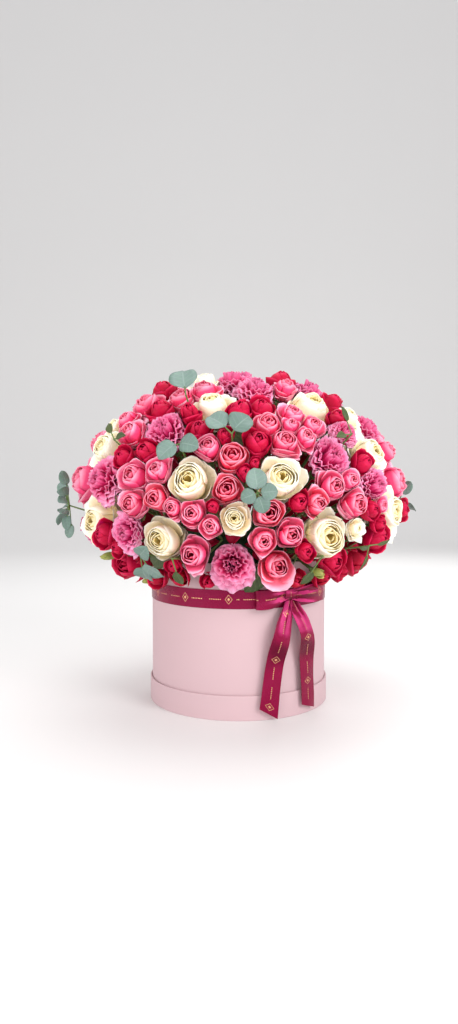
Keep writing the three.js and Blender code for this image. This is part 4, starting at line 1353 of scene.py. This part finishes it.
def bloom_object(name, heads, shape, finish, seed, **changes):
    """Heads of petals, one for each of the places given, in one object."""
    mesh = mesh_of(name, [head.middle * MM for head in heads])
    put(mesh, "FLOAT_VECTOR", facing=[head.facing for head in heads], side=[head.side for head in heads],
        neck=[head.shift * MM for head in heads])
    put(mesh, "FLOAT", radius=[head.bloom * MM for head in heads], tint=[head.tint for head in heads],
        open=[head.opened for head in heads], spin=[head.spin for head in heads])
    put(mesh, "INT", head=range(len(heads)))
    inputs = {label: getattr(shape, key) for key, (_, label, _) in BLOOM_FIELDS.items()}
    inputs.update(Thickness=bpy.context.scene.hat_box_sizes.petal, Seed=seed, Material=paint(finish))
    inputs.update(changes)
    return grown(name, mesh, garden().bloom, inputs)


def neck_of(place, path):
    """Where a head's stem ends: under its middle, on the way to the stem's last point."""
    below = path[-1] - place.middle
    away = float(np.linalg.norm(below))
    depth = min(HEAD_BACK[place.kind] * place.radius, away - NECK_FREE)
    return place.middle + below / away * depth


def raised(d, reach, clearance):
    """A reach in direction d, made long enough to clear the box."""
    return max(reach, (BOX_RADIUS + clearance) / math.hypot(d[0], d[1]))


def filler_leaf(neck, d, cover, number_of):
    """A rose leaf in a gap, or a petal under the heads, in direction d, and its twig from a head's neck."""
    lift = min(FILLER_TOP, LEAF_REACH + 0.35 * (cover - GAP_COVER)) if cover else INNER_REACH
    reach = dome_reach(d, 0) * (lift + 0.04 * math.sin(number_of * 2.7))
    if cover and height_of(d) < LOW_FILLER:
        reach = raised(d, dome_reach(d, 0) * LOW_LEAF_REACH, LOW_LEAF_CLEARANCE)
    target = along(d, reach)
    away = target - neck
    tilt = 0.25 * np.sin([number_of, number_of * 1.7, number_of * 2.3])
    out = unit(d * 0.9 + unit(away) * 0.3 + tilt)
    axis = unit(away - out * float(away @ out) * 0.7)
    length = FILLER_LENGTH + 8 * math.sin(number_of * 3.1)
    foot = target - axis * length / 2
    curl = LEAF_CURL if cover else INNER_CURL
    leaf = (foot, axis, unit(np.cross(axis, out)), length, length * FILLER_BREADTH, curl)
    return leaf, [neck, foot + axis * TWIG_OVERLAP]


def filler_bud(neck, d, cover, radius, number_of):
    """A small crimson bud in the gap in direction d, and its twig from a head's neck."""
    reach = dome_reach(d, 0) * min(FILLER_TOP, BUD_REACH + 0.3 * (cover - GAP_COVER))
    if height_of(d) < LOW_FILLER:
        reach = raised(d, reach * LOW_BUD_REACH, LOW_BUD_CLEARANCE)
    middle = along(d, reach)
    foot = middle - d * radius * NECK_LEVEL
    bud = SimpleNamespace(
        middle=middle, facing=d, side=unit(np.cross([0.2, 0.1, 1], d)), bloom=radius, shift=np.zeros(3),
        tint=0.5 + 0.5 * math.sin(number_of), opened=0.1, spin=number_of * 1.3)
    return bud, [neck, foot - d * 4, foot + d]


def sepals(place, neck):
    """Five narrow sepals under a head."""
    up = -unit(neck - place.middle)
    side = unit(np.cross(up, [0.31, 0.2, 0.9]))
    other = np.cross(up, side)
    rows = []
    for i in range(5):
        turn = 2 * math.pi * i / 5 + place.radius
        outward = side * math.cos(turn) + other * math.sin(turn)
        axis = unit(up * math.cos(SEPAL_SPREAD) + outward * math.sin(SEPAL_SPREAD))
        across = unit(np.cross(axis, -up))
        length, width = place.radius * SEPAL_LENGTH, place.radius * SEPAL_WIDTH
        rows.append((neck - up * 1.5, axis, across, length, width, SEPAL_CURL))
    return rows


def stem_end(place, path, radius, neck):
    """A head's stem with its swollen end, which runs smoothly into the head."""
    toward, into = unit(place.middle - neck), unit(neck - path[-1])
    free = float(np.linalg.norm(neck - path[-1]))
    ends = [neck - into * min(6, free * 0.6), neck - into * min(2.5, free * 0.3), neck + toward * 3]
    swell = STEM_SWELL + place.radius * SWELL_BY_RADIUS
    return path + ends, [radius] * (len(path) + 1) + [radius * swell, radius * swell * 0.9]


# Finish and shape of what a spray has besides its heads: sepals, leaves in the gaps, petals under the heads
# and small buds in the gaps
SEPAL = "rose_leaf", dict(Point=0.5, Fold=0.25, Points_across=3, Points_along=5)
FILLER_LEAF = "rose_leaf", dict(Point=0.5, Fold=0.25, Teeth=0.1, Points_across=5, Points_along=9)
INNER_PETAL = "rose_bud_petal", dict(Point=0.1, Fold=0.8, Fullness=0.8, Points_across=5, Points_along=9)
FILLER_BLOOM = dict(Petals=7, Points_across=5, Points_along=5)


def build_spray(spray, shape):
    """One spray: its heads of petals, its stems, its sepals and what it has in the gaps."""
    plan, name = garden(), spray.name
    paths = stem_paths(spray, plan.sprays, plan.sprigs)
    necks = [neck_of(place, path) for place, (path, _) in zip(spray.places, paths)]
    for place, neck in zip(spray.places, necks):
        c = 0.5 + 0.5 * math.sin(sum(place.seen_at) * 12.9 + place.width * 3.3)
        usual = (0.45 * c, LEAST_OPEN[spray.kind] + 0.45 * c)
        place.tint, place.opened = HEAD_LOOKS.get(place.seen_at, usual)
        place.shift = neck - (place.middle - place.facing * NECK_LEVEL * place.bloom)
        place.spin = c * 2 * math.pi
    blooms = bloom_object(name, spray.places, shape, f"{spray.kind}_petal", sum(map(ord, name)))
    press(blooms, spray.places)

    stems = [stem_end(place, *way, neck) for place, way, neck in zip(spray.places, paths, necks)]
    leaves, inner, calyx, buds = [], [], [], []
    for k, (d, i, cover, radius) in enumerate(plan.fillers.get(name, [])):
        number_of = k + 7 * i + len(name)
        if cover and (number_of % 3 or radius > FILLER_BUD):
            bud, twig = filler_bud(necks[i], d, cover, radius, number_of)
            buds.append(bud)
            stems.append((twig, BUD_TWIG))
        else:
            leaf, twig = filler_leaf(necks[i], d, cover, number_of)
            (leaves if cover else inner).append(leaf)
            stems.append((twig, TWIG))
    if spray.kind != "carnation":
        for place, neck in zip(spray.places, necks):
            calyx.extend(sepals(place, neck))
    pieces = [blooms, stem_object(name, stems)]
    for rows, (finish, leaf_shape) in ((calyx, SEPAL), (leaves, FILLER_LEAF), (inner, INNER_PETAL)):
        if rows:
            pieces.append(leaf_object(name, rows, finish, **leaf_shape))
    if buds:
        bud_shape = bpy.context.scene.hat_box_rose_bud
        pieces.append(bloom_object(name, buds, bud_shape, "rose_bud_petal", len(name), **FILLER_BLOOM))
    keep(joined(name + "_bloom", pieces), name)


# The leaves of each kind of sprig: finish, how much longer and wider than the part's, curl, how far the foot
# is moved down the twig, and shape
SPRIG_LEAVES = {
    "eucalyptus": (
        "eucalyptus_leaf", 1.1, 1.12, 0.3, 1, dict(Point=0.35, Fold=0.24, Teeth=0.0, Fullness=0.5)),
    "rose_leaf": ("rose_leaf", 1, 1, 0.15, 0, dict(Point=0.6, Fold=0.25, Teeth=0.1, Fullness=0.8)),
}


def build_sprig(sprig):
    """A sprig: its stem through the heads and the leaves lying on them."""
    d, seen_at = sprig.place.d, sprig.place.seen_at
    finish, longer, wider, curl, tuck, shape = SPRIG_LEAVES[sprig.kind]
    top = on_dome(d, -LEAF_LIFT * TWIG_END)
    path = main_stem_path(d) + [top]
    stems = [(path, [BRANCH_RADIUS] * (len(path) - 1) + [BRANCH_RADIUS * 0.7])]
    leaves = []
    rows = sprig.leaves + MORE_LEAVES.get(seen_at, [])
    for k, (bearing, height, length, width, standing) in enumerate(rows):
        middle = on_dome(direction(bearing, height), -LEAF_LIFT)
        normal = dome_normal(middle, -LEAF_LIFT)
        tipward = middle - top
        tipward = tipward - normal * float(tipward @ normal)
        away = float(np.linalg.norm(tipward))
        tipward = tipward / away
        across = np.cross(tipward, normal)
        tilt = math.radians(standing)
        axis = tipward * math.cos(tilt) + normal * math.sin(tilt)
        roll = math.radians(LEAF_ROLL.get(seen_at, 0)) * (-1) ** k
        across = across * math.cos(roll) + np.cross(axis, across) * math.sin(roll)
        foot = middle + tipward * (max(away - length / 2, STALK_LEAST) - away)
        leaves.append((foot - axis * tuck, axis, across, length * longer, width * wider, curl))
        stems.append(([top - normal * 1.2, foot + axis * 2], TWIG))
    name = sprig.name
    pieces = [leaf_object(name, leaves, finish, **shape), stem_object(name, stems)]
    keep(joined(name + "_sprig", pieces), name)


def tidy_surface(piece, angle, merge=0.0):
    """Merges doubles, drops faces that collapsed, turns the normals outwards and shades by angle."""
    bm = bmesh.new()
    bm.from_mesh(piece.data)
    if merge:
        bmesh.ops.remove_doubles(bm, verts=bm.verts, dist=merge)
        bmesh.ops.dissolve_degenerate(bm, edges=bm.edges, dist=merge / 10)
    bmesh.ops.recalc_face_normals(bm, faces=bm.faces)
    bm.to_mesh(piece.data)
    bm.free()
    piece.data.shade_smooth()
    piece.data.set_sharp_from_angle(angle=math.radians(angle))


def on_box(bearing, radius, z):
    """A point, or a direction, by its bearing round the box."""
    b = math.radians(bearing)
    return np.array([radius * math.sin(b), -radius * math.cos(b), z])


def turned_object(name, profile, sides, finish):
    """A closed profile of (radius, z) points in millimetres turned round the box's axis."""
    mesh = bpy.data.meshes.new(name)
    count = len(profile)
    points = [on_box(360 * i / sides, r, z) * MM for i in range(sides) for r, z in profile]
    faces = []
    for i in range(sides):
        here, ahead = i * count, (i + 1) % sides * count
        for k in range(count):
            after = (k + 1) % count
            faces.append((here + k, ahead + k, ahead + after, here + after))
    mesh.from_pydata([tuple(p) for p in points], [], faces)
    piece = shown(name, mesh)
    tidy_surface(piece, 35, merge=0.00002)
    mesh.materials.append(paint(finish))
    return piece


def rounded(corners, radius, steps=4):
    """A profile with its corners rounded. Corners are (r, z, share of the radius)."""
    rows = []
    for i, (r, z, much) in enumerate(corners):
        if not much:
            rows.append((r, z))
            continue
        near = (corners[k % len(corners)] for k in (i, i - 1, i + 1))
        here, before, after = (np.array(corner[:2], dtype=float) for corner in near)
        cut = radius * much
        for s in np.linspace(0, 1, steps + 1):
            p = here + unit(before - here) * cut * (1 - s) ** 2 + unit(after - here) * cut * s ** 2
            rows.append((float(p[0]), float(p[1])))
    return rows


def cup_profile(outer, bottom, rim):
    """The section of a round card tub. Its middle stays just off the axis, where its ends are merged."""
    inner, floor = outer - CARD, bottom + CARD
    low, high = bottom + 0.35 * (rim - bottom), rim - 0.2 * (rim - bottom)
    return [
        (AXIS_GAP, bottom, 0), (outer, bottom, 1), (outer, low, 0), (outer, high, 0),
        (outer, rim, 1), (inner, rim, 1), (inner, floor, 0), (AXIS_GAP, floor, 0),
    ]


class HATBOX_OT_box(bpy.types.Operator):
    """Builds the box and its lid of paper-covered card, and dresses the film and the foam"""
    bl_idname = "hatbox.box"
    bl_label = "Box, lid and foam"

    def execute(self, context):
        fold = context.scene.hat_box_sizes.rim / MM
        for node, radius, bottom, rim in (
                ("lid", LID_RADIUS, 0, LID_HEIGHT), ("box", BOX_RADIUS, CARD + SEAT, BOX_RIM_Z)):
            profile = rounded(cup_profile(radius, bottom, rim), fold)
            keep(turned_object(node + "_paper", profile, TUB_SIDES, "pink_paper"), node)
        for node, finish in (("foam", "flower_foam"), ("liner", "clear_film")):
            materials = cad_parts[node].data.materials
            materials.clear()
            materials.append(paint(finish))
        return {"FINISHED"}


# Ribbon
def travel(points):
    """The way along a row of points at each of them."""
    return np.concatenate([[0], np.cumsum(np.linalg.norm(np.diff(points, axis=0), axis=1))])


def spline(rows, count):
    """Even points on a smooth curve through rows of numbers."""
    rows = np.array(rows, dtype=float)
    lengths = travel(rows[:, :3])
    padded = np.vstack([2 * rows[0] - rows[1], rows, 2 * rows[-1] - rows[-2]])
    found = []
    for s in np.linspace(0, lengths[-1], count):
        k = min(int(np.searchsorted(lengths, s, side="right")) - 1, len(rows) - 2)
        t = (s - lengths[k]) / (lengths[k + 1] - lengths[k])
        p0, p1, p2, p3 = padded[k:k + 4]
        found.append(0.5 * (2 * p1 + (p2 - p0) * t + (2 * p0 - 5 * p1 + 4 * p2 - p3) * t ** 2
                            + (3 * p1 - p0 - 3 * p2 + p3) * t ** 3))
    return np.array(found)


def ribbon_object(name, centres, edges, outs, travelled, crease, start=0.0, is_ring=False):
    """A strip of ribbon along a row of centres, or a ring of it, in millimetres.

    Edges go from the centres to the ribbon's side, outs are its face's directions and travelled is the way
    along it. Crease lifts the face by the place along (0 to 1) and across (-1 to 1)."""
    thick = bpy.context.scene.hat_box_sizes.ribbon / MM
    count, row = len(centres), RIBBON_CELLS + 1
    cells = count if is_ring else count - 1
    back = count * row
    across = np.linspace(-1, 1, row)
    points = [(centres[k] + edges[k] * w + outs[k] * (crease(k / cells, w) + side * thick / 2)) * MM
              for side in (1, -1) for k in range(count) for w in across]
    quads = []
    for k in range(cells):
        here, ahead = k * row, (k + 1) % count * row
        for a, b in zip(range(here, here + RIBBON_CELLS), range(ahead, ahead + RIBBON_CELLS)):
            quads.append((a, a + 1, b + 1, b))
            quads.append((back + a, back + b, back + b + 1, back + a + 1))
        for a, b in ((here, ahead), (ahead + RIBBON_CELLS, here + RIBBON_CELLS)):
            quads.append((a, b, back + b, back + a))
    if not is_ring:
        for a, b in zip(range(RIBBON_CELLS), range(back - row, back)):
            quads.append((a, back + a, back + a + 1, a + 1))
            quads.append((b + 1, back + b + 1, back + b, b))
    mesh = bpy.data.meshes.new(name)
    mesh.from_pydata([tuple(p) for p in points], [], quads)
    layer = mesh.uv_layers.new(name="ribbon")
    for face in mesh.polygons:
        steps = [mesh.loops[k].vertex_index % back // row for k in face.loop_indices]
        for k, step in zip(face.loop_indices, steps):
            at = count if is_ring and step == 0 and max(steps) == count - 1 else step
            w = across[mesh.loops[k].vertex_index % row]
            layer.data[k].uv = ((start + travelled[at]) * MM, w * RIBBON_WIDTH / 2 * MM)
    piece = shown(name, mesh)
    tidy_surface(piece, 50)
    mesh.materials.append(paint("ribbon_satin"))
    return piece


def ribbon_strip(name, rows, count, crease, start):
    """A strip through rows of (centre x, y, z, edge x, y, z) and its length. Start shifts the print."""
    stations = spline(rows, count)
    centres, edges = stations[:, :3], stations[:, 3:6]
    outs = np.cross(np.gradient(centres, axis=0), edges)
    outs /= np.linalg.norm(outs, axis=1)[:, None]
    travelled = travel(centres)
    return ribbon_object(name, centres, edges, outs, travelled, crease, start), float(travelled[-1])


def pinch(ends, billow, phase=0.0, swell=0.0):
    """Creases of a strip that is gathered at the ends named and billows and swells along its way."""
    def crease(s, w):
        near = sum(math.exp(-((s - e) / 0.24) ** 2) for e in ends)
        pleats = near * (2.1 * math.cos(w * 7.0 + 0.6) + 0.7 * math.sin(w * 12.0 + s * 5.0))
        hang = math.sin(s * 8.0 + phase + 0.6 * w) * min(1, s * 4) * (0.7 + 0.3 * w)
        dent = 1.1 * math.sin(s * 17.0 + w * 2.2 + phase * 2.0) * min(1, s * 3)
        bulge = swell * math.exp(-((s - 0.38 - 0.04 * w) / 0.13) ** 2)
        return pleats + 0.8 * math.cos(w * math.pi / 2) + billow * (hang + 0.4 * dent) + bulge
    return crease


# The bow's loops, by stations of (bearing, radius, z, half the width), and its tails, by stations of
# (bearing, radius, z, half the width, how far the edge falls across it)
LEFT_LOOP = [
    (29, 133.5, 164, 6), (24, 137, 162.5, 9.5), (18, 139.5, 160.5, 12), (12, 138.5, 159.5, 12.5),
    (9, 134, 159.5, 12.5), (12, 129.8, 159.5, 12.2), (18, 128.4, 160.5, 12), (24, 128.6, 162.5, 9),
    (29, 130, 164, 6),
]
RIGHT_LOOP = [
    (31, 133.5, 164, 6), (36, 137.5, 164, 9.5), (44, 140, 164.5, 12), (54, 139, 165, 13),
    (60, 134, 165, 13), (55, 129.8, 165, 12.5), (45, 128.4, 164.5, 12), (37, 128.6, 164, 9),
    (31, 130, 164, 6),
]
LEFT_TAIL = [
    (29.5, 131, 162, 5, 0), (27.8, 133.5, 146, 8, 1.8), (23.8, 136.5, 120, 12.2, 3),
    (20.8, 133.8, 84, 12.3, 2.3), (18.5, 133, 48, 12.3, 1.8), (16.4, 133.5, 9.4, 12.5, 7.4),
]
RIGHT_TAIL = [
    (30.5, 131, 162, 5, 0), (33.4, 133.5, 146, 8.5, -3), (38.2, 136.5, 120, 12, -3.6),
    (42, 134, 74, 12.3, -1.3), (43.2, 133, 42, 12.3, -0.6), (44, 133.5, 11, 12.5, 3.9),
]
KNOT = dict(bearing=30, radius=131.9, z=164)


def loop_rows(stations):
    return [(*on_box(b, r, z), 0, 0, half) for b, r, z, half in stations]


def tail_rows(stations):
    return [(*on_box(b, r, z), *on_box(b + 90, half, -fall)) for b, r, z, half, fall in stations]


def knot_rows():
    """The turn of ribbon that holds the bow: a puffed ring of pleats."""
    middle = on_box(**KNOT)
    out, side = on_box(KNOT["bearing"], 1, 0), on_box(KNOT["bearing"] + 90, 1, 0)
    rows = []
    for a in np.linspace(0, 2 * math.pi, 41):
        depth = 4.6 + 0.5 * math.cos(a)
        centre = middle + out * depth * math.cos(a) + np.array([0, 0, 8.2 * math.sin(a)])
        rows.append((*centre, *(side * (9.0 + 1.0 * math.cos(2 * a)))))
    return rows


class HATBOX_OT_ribbon(bpy.types.Operator):
    """Builds the satin ribbon round the box and its bow"""
    bl_idname = "hatbox.ribbon"
    bl_label = "Ribbon and bow"

    def execute(self, context):
        band = self.band()
        keep(band, "ribbon_band")
        bow, long = self.bow()
        keep(bow, "ribbon_bow")
        return {"FINISHED"}

    def band(self):
        middle = BOX_RADIUS + SEAT + bpy.context.scene.hat_box_sizes.ribbon / MM / 2
        turns = [360 * i / BAND_SIDES for i in range(BAND_SIDES + 1)]
        centres = [on_box(turn, middle, BAND_Z) for turn in turns[:-1]]
        outs = [on_box(turn, 1, 0) for turn in turns[:-1]]
        edges = [np.array([0, 0, RIBBON_WIDTH / 2])] * BAND_SIDES
        travelled = [math.radians(turn) * middle for turn in turns]
        return ribbon_object("ribbon_round_box", centres, edges, outs, travelled,
                             lambda s, w: 0.12 * math.cos(w * math.pi / 2), is_ring=True)

    def bow(self):
        strips = [
            ribbon_strip("bow_left", loop_rows(LEFT_LOOP), 64, pinch((0, 1), 0.5), 20),
            ribbon_strip("bow_right", loop_rows(RIGHT_LOOP), 72, pinch((0, 1), 0.5, 1.0), 45),
            ribbon_strip("tail_left", tail_rows(LEFT_TAIL), 72, pinch((0,), 0.9, 0.4, 6.0), 8),
            ribbon_strip("tail_right", tail_rows(RIGHT_TAIL), 72, pinch((0,), 0.9, 1.3, 6.5), 34),
            ribbon_strip("bow_knot", knot_rows(), 48,
                         lambda s, w: 0.5 * math.cos(w * 9) + 1.1 * math.cos(w * math.pi / 2), 3),
        ]
        return joined("ribbon_bow_satin", [piece for piece, _ in strips]), sum(long for _, long in strips)


class BloomOperator:
    """Builds every spray of one kind."""

    def execute(self, context):
        shape = getattr(context.scene, f"hat_box_{self.kind}")
        for spray in garden().sprays:
            if spray.kind == self.kind:
                build_spray(spray, shape)
        return {"FINISHED"}


class HATBOX_OT_garden_roses(BloomOperator, bpy.types.Operator):
    """Builds the ivory garden roses with their stems"""
    bl_idname = "hatbox.garden_roses"
    bl_label = "Garden roses"
    kind = "garden_rose"


class HATBOX_OT_spray_roses(BloomOperator, bpy.types.Operator):
    """Builds the pink spray roses with their stems"""
    bl_idname = "hatbox.spray_roses"
    bl_label = "Spray roses"
    kind = "spray_rose"


class HATBOX_OT_rose_buds(BloomOperator, bpy.types.Operator):
    """Builds the crimson rose buds with their stems"""
    bl_idname = "hatbox.rose_buds"
    bl_label = "Rose buds"
    kind = "rose_bud"


class HATBOX_OT_carnations(BloomOperator, bpy.types.Operator):
    """Builds the mauve carnations with their stems"""
    bl_idname = "hatbox.carnations"
    bl_label = "Carnations"
    kind = "carnation"


class HATBOX_OT_green_buds(BloomOperator, bpy.types.Operator):
    """Builds the closed green buds with their stems"""
    bl_idname = "hatbox.green_buds"
    bl_label = "Green buds"
    kind = "green_bud"


class HATBOX_OT_sprigs(bpy.types.Operator):
    """Builds the sprigs of eucalyptus and of rose leaves"""
    bl_idname = "hatbox.sprigs"
    bl_label = "Leafy sprigs"

    def execute(self, context):
        for sprig in garden().sprigs:
            build_sprig(sprig)
        return {"FINISHED"}


# The stage, in metres. The backdrop is the floor's section in depth and height, with a round corner.
FLOOR_SIDE = 5
BACKDROP_ROUND = 1.2
BACKDROP_AT = 2.2
BACKDROP = [
    (-2.4, 0), (BACKDROP_AT, 0),
    *((BACKDROP_AT + BACKDROP_ROUND * math.sin(a), BACKDROP_ROUND * (1 - math.cos(a)))
      for a in np.linspace(0.15, math.pi / 2, 12)),
    (BACKDROP_AT + BACKDROP_ROUND, 4.0),
]
SKY = (0.98, 0.98, 1.0, 1)
SKY_STRENGTH = 0.72
LIGHTS_AIM = Vector((0, 0, 0.25))
LIGHTS = {
    "key": ((1.3, -1.3, 1.05), 22, 0.9),
    "fill": ((-1.4, -1.3, 0.7), 14, 1.4),
    "front": ((0.1, -2.3, 0.35), 9, 1.2),
    "top": ((0.0, 0.2, 2.0), 12, 1.2),
    "back": ((0.6, 1.7, 1.3), 11, 1.2),
}
CAMERA_PLACE = (-0.0137, -1.1, 0.315)
CAMERA_DIP = 2.46
SENSOR = 36
LENS = 755 / 1024 * SENSOR


class HATBOX_OT_stage(bpy.types.Operator):
    """Sets the floor, the soft lights and the camera"""
    bl_idname = "hatbox.stage"
    bl_label = "Stage"

    def execute(self, context):
        scene = context.scene
        scene.view_settings.view_transform = "Standard"
        mesh = bpy.data.meshes.new("studio_floor")
        points = [(x, y, z) for y, z in BACKDROP for x in (-FLOOR_SIDE, FLOOR_SIDE)]
        faces = [(2 * i, 2 * i + 1, 2 * i + 3, 2 * i + 2) for i in range(len(BACKDROP) - 1)]
        mesh.from_pydata(points, [], faces)
        mesh.shade_smooth()
        mesh.materials.append(paint("studio_floor"))
        shown("studio_floor", mesh)

        world = bpy.data.worlds.new("soft_studio")
        scene.world = world
        world.use_nodes = True
        background = next(n for n in world.node_tree.nodes if n.type == "BACKGROUND")
        background.inputs["Color"].default_value = SKY
        background.inputs["Strength"].default_value = SKY_STRENGTH
        for name, (place, power, wide) in LIGHTS.items():
            light = bpy.data.lights.new(name, "AREA")
            light.energy = power
            light.size = wide
            lamp = shown(name, light)
            lamp.location = place
            lamp.rotation_euler = (LIGHTS_AIM - Vector(place)).to_track_quat("-Z", "Y").to_euler()

        camera = shown("camera", bpy.data.cameras.new("camera"))
        camera.data.sensor_width = SENSOR
        camera.data.lens = LENS
        camera.location = CAMERA_PLACE
        camera.rotation_euler = (math.radians(90 - CAMERA_DIP), 0, 0)
        scene.camera = camera
        return {"FINISHED"}


STEPS = (
    HATBOX_OT_box, HATBOX_OT_ribbon, HATBOX_OT_garden_roses, HATBOX_OT_spray_roses, HATBOX_OT_rose_buds,
    HATBOX_OT_carnations, HATBOX_OT_green_buds, HATBOX_OT_sprigs, HATBOX_OT_stage,
)


class HATBOX_PT_panel(bpy.types.Panel):
    """Lists the steps that build the hat box"""
    bl_idname = "HATBOX_PT_panel"
    bl_label = "Flower hat box"
    bl_space_type = "VIEW_3D"
    bl_region_type = "UI"
    bl_category = "Hat box"

    def draw(self, context):
        for step in STEPS:
            self.layout.operator(step.bl_idname)


CLASSES = (HatBoxSizes, HatBoxColors, *BLOOM_SHAPES.values(), *STEPS, HATBOX_PT_panel)


def register():
    for cls in CLASSES:
        bpy.utils.register_class(cls)
    bpy.types.Scene.hat_box_sizes = bpy.props.PointerProperty(type=HatBoxSizes)
    bpy.types.Scene.hat_box_colors = bpy.props.PointerProperty(type=HatBoxColors)
    for kind, shape in BLOOM_SHAPES.items():
        setattr(bpy.types.Scene, f"hat_box_{kind}", bpy.props.PointerProperty(type=shape))


def unregister():
    for kind in BLOOM_SHAPES:
        delattr(bpy.types.Scene, f"hat_box_{kind}")
    del bpy.types.Scene.hat_box_colors
    del bpy.types.Scene.hat_box_sizes
    for cls in reversed(CLASSES):
        bpy.utils.unregister_class(cls)


def main():
    register()
    for step in STEPS:
        group, name = step.bl_idname.split(".")
        getattr(getattr(bpy.ops, group), name)()


if __name__ == "__main__":
    main()
